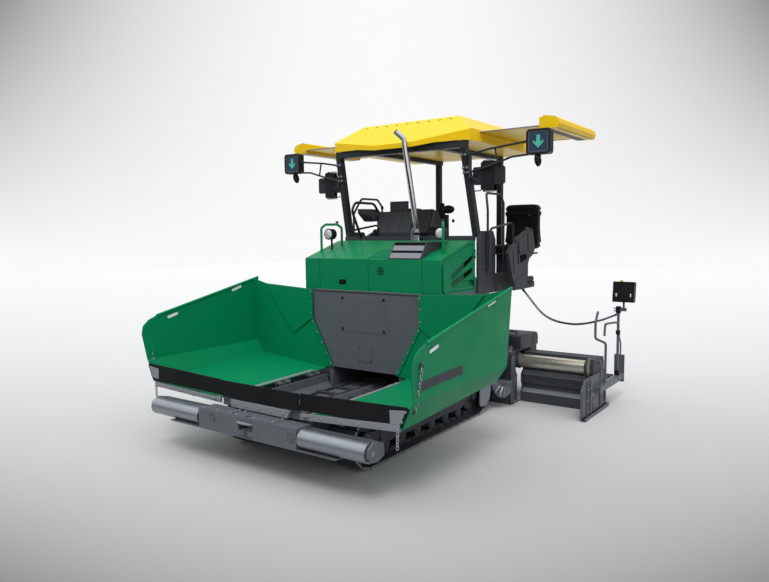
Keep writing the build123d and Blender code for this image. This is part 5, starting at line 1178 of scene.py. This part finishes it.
def console_cord():
    """Curly cord: a round wire wound about its route at a set pitch, straight where it enters its two boots."""
    line = cord_line()
    along = np.concatenate([[0], np.cumsum(np.linalg.norm(np.diff(line, axis=0), axis=1))])
    run = np.arange(0.0, along[-1], CURL_PITCH / 16)
    path = np.stack([np.interp(run, along, line[:, k]) for k in range(3)], -1)
    ahead = unit(np.gradient(path, axis=0))
    over = unit(np.cross((969.0, -758.0, 0.0), ahead))
    side = np.cross(ahead, over)
    turn = (2 * math.pi * run / CURL_PITCH)[:, None]
    ends = np.clip(np.minimum(run, run[-1] - run) / 45.0, 0, 1)[:, None]
    out = np.cos(turn) * over + np.sin(turn) * side
    wire = path + out * CURL_R * ends * ends * (3 - 2 * ends)
    cord = piece("console_curl", [sweep(wire, circle(WIRE_R, 8), out)], CORD_BLACK, None, smooth=80)
    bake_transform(cord)
    for body, spot in (("tractor", 0), ("extension_left", -1)):
        step = ahead[spot] if spot == 0 else -ahead[spot]
        base = path[spot] - step * 2.0
        level = np.array([0.0, 6.0, 20.0, 42.0, 46.0])
        girth = np.array([13.0, 13.0, 10.0, 7.5, 5.2])
        across = unit(np.cross(step, (0, 0, 1)))
        rest = np.cross(across, step)
        ring = circle(1.0, 20)
        grid = base + level[:, None, None] * step + girth[:, None, None] * (
            ring[:, :1] * across + ring[:, 1:] * rest)[None]
        piece("cord_boot_" + body, [skin(grid)], RUBBER, body)
    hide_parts("console_cord")


def consoles(sign, side, body):
    """Keys and screen on the rear face of one remote console; rim, grips and ribs on its front face; lamp."""
    foot = np.array([2440.0, 1195.0])
    along = unit(np.array([30.0, 245.0]))
    normal = np.array([-along[1], along[0]])

    def on_face(x0, x1, s0, s1, d0, d1):
        """Block between two places across, two up the leaning front face and two out of it."""
        corners = [foot + along * s + normal * d for s, d in ((s0, d0), (s1, d0), (s1, d1), (s0, d1))]
        return plate(corners, x0, x1)

    left, back = CONSOLE_X, CONSOLE_T
    keys = [on_face(left + 20 + 38 * i, left + 46 + 38 * i, 24 + 34 * j, 46 + 34 * j, -back - 5, 1 - back)
            for i in range(6) for j in range(4) if (i, j) not in ((2, 3), (3, 3))]
    piece("console_keys_" + side, sided(keys, sign), GREY_PLASTIC, body, bevel=2)
    screen = [on_face(left + 60, left + 190, 164, 226, -back - 1.5, 1 - back)]
    piece("console_screen_" + side, sided(screen, sign), SCREEN, body)
    rim = [on_face(left, left + 10, 2, 244, -2, 10), on_face(left + 240, left + 250, 2, 244, -2, 10),
           on_face(left, left + 250, 236, 246, -2, 12)]
    piece("console_rim_" + side, sided(rim, sign), BLACK, body, bevel=3)
    grips = [on_face(left + x, left + x + 15, 66, 106, -1, 1.2) for x in (34, 201)]
    piece("console_grips_" + side, sided(grips, sign), PALE, body, bevel=3)
    rib = [on_face(left + 84, left + 166, 20, 200, -1, 7), on_face(left + 24, left + 60, 130, 210, -1, 5),
           on_face(left + 190, left + 226, 130, 210, -1, 5)]
    piece("console_ribs_" + side, sided(rib, sign), BLACK, body, bevel=4)
    amber = [lathe([(17, 0), (17, 12), (13, 24), (0.5, 27)], (left + 95, 2480, 1432), "z", 18)]
    piece("console_lamp_" + side, sided(amber, sign), AMBER, body)


def dress():
    """Every fine piece, group by group."""
    for sign, side in BOTH:
        hopper(sign, side)
    centre_apron()
    push_bar()
    bulkhead()
    hood()
    intake()
    lamps()
    exhaust()
    roof()
    signals()
    platform()
    seats()
    tracks()
    screed_covers()
    screed()
    console_cord()


dress()


# ---------------------------------------------------------------- camera, floor and light
CAMERA_AT = (4138.0, -5591.9, 2054.0)
SENSOR_W = 36.0                        # millimetres
FOCAL_SHARE = 660.70 / 769.0           # focal length over the picture's width
FLOOR_REACH = 30.0                     # metres from the middle to each edge


def painted_falloff(tree, ground):
    """Painted light falloff on the backdrop and floor: white in the middle of the view, painted shade greyer to its
    upper corners and down the floor.
    """
    view = node(tree, "ShaderNodeTexCoord")
    split = node(tree, "ShaderNodeSeparateXYZ", {0: view.outputs["Window"]})
    aside = maths(tree, "SUBTRACT", split.outputs[0], 0.5)
    aside = maths(tree, "MULTIPLY", aside, aside)
    if ground:
        drop = maths(tree, "POWER", ranged(tree, split.outputs[1], 0.62, 0.0, 0.0, 1.0), 1.4)
        deep, corner, level = 0.52, 0.76, 0.69
    else:
        drop = ranged(tree, split.outputs[1], 0.55, 1.0, 0.0, 1.0)
        deep, corner, level = 0.0, 2.7, 0.96
    down = maths(tree, "MULTIPLY", drop, deep)
    out = maths(tree, "MULTIPLY_ADD", maths(tree, "MULTIPLY", aside, drop), corner, down)
    return ranged(tree, out, 0.0, 1.0, level, 0.0)


def studio():
    """Camera, pale floor with painted light falloff, sky that brightens upwards behind a backdrop with the same painted
    falloff, and three broad suns.
    """
    camera = bpy.data.objects.new("camera", bpy.data.cameras.new("camera"))
    bpy.context.scene.collection.objects.link(camera)
    look = np.array((-0.5768, 0.8121, -0.0883))
    right = np.array((0.8157, 0.5783, -0.0102))
    over = np.array((-0.0428, 0.0779, 0.9960))
    turn = np.stack([right, over, -look], -1)
    camera.matrix_world = Matrix.Translation(Vector(at(CAMERA_AT))) @ Matrix(turn.tolist()).to_4x4()
    camera.data.sensor_width = SENSOR_W
    camera.data.lens = FOCAL_SHARE * SENSOR_W
    camera.data.clip_end = 200.0
    bpy.context.scene.camera = camera

    ground = bpy.data.meshes.new("floor")
    reach = FLOOR_REACH
    ground.from_pydata([(-reach, -reach, -0.001), (reach, -reach, -0.001), (reach, reach, -0.001),
                        (-reach, reach, -0.001)], [], [(0, 1, 2, 3)])
    floor = bpy.data.objects.new("floor", ground)
    bpy.context.scene.collection.objects.link(floor)
    pale = bpy.data.materials.new("pale floor")
    pale.use_nodes = True
    shader = pale.node_tree.nodes["Principled BSDF"]
    # The floor's colour carries the painted falloff, so the suns' shadow stays on top of it.
    pale.node_tree.links.new(painted_falloff(pale.node_tree, True), shader.inputs["Base Color"])
    shader.inputs["Roughness"].default_value = 0.9
    shader.inputs["Specular IOR Level"].default_value = 0.1
    ground.materials.append(pale)

    world = bpy.data.worlds.new("studio sky")
    bpy.context.scene.world = world
    world.use_nodes = True
    tree = world.node_tree
    sky = tree.nodes["Background"]
    place = node(tree, "ShaderNodeTexCoord")
    split = node(tree, "ShaderNodeSeparateXYZ", {0: place.outputs["Generated"]})
    rise = ranged(tree, split.outputs[2], 0.0, 1.0, 0.22, 1.45)
    tone = node(tree, "ShaderNodeMix", {0: 1.0, 6: (0.97, 0.985, 1.0, 1.0), 7: rise}, data_type="RGBA",
                blend_type="MULTIPLY")
    tree.links.new(tone.outputs[2], sky.inputs[0])
    seen = node(tree, "ShaderNodeBackground", {0: painted_falloff(tree, False), 1: 1.0})
    path = node(tree, "ShaderNodeLightPath")
    choose = node(tree, "ShaderNodeMixShader", {0: path.outputs["Is Camera Ray"], 1: sky.outputs[0],
                                                2: seen.outputs[0]})
    tree.links.new(choose.outputs[0], tree.nodes["World Output"].inputs[0])

    for name, place, strength, spread in (
            ("key sun", (2.5, -5.0, 9.0), 1.25, 24.0),
            ("fill sun", (-7.0, -4.0, 6.0), 0.35, 60.0),
            ("side sun", (8.0, -1.0, 4.0), 0.45, 60.0)):
        lamp = bpy.data.objects.new(name, bpy.data.lights.new(name, "SUN"))
        lamp.data.energy = strength
        lamp.data.angle = math.radians(spread)
        bpy.context.scene.collection.objects.link(lamp)
        run = -Vector(place)
        lamp.matrix_world = Matrix.Translation(place) @ run.to_track_quat("-Z", "Y").to_matrix().to_4x4()
    bpy.context.scene.view_settings.view_transform = "Standard"


studio()
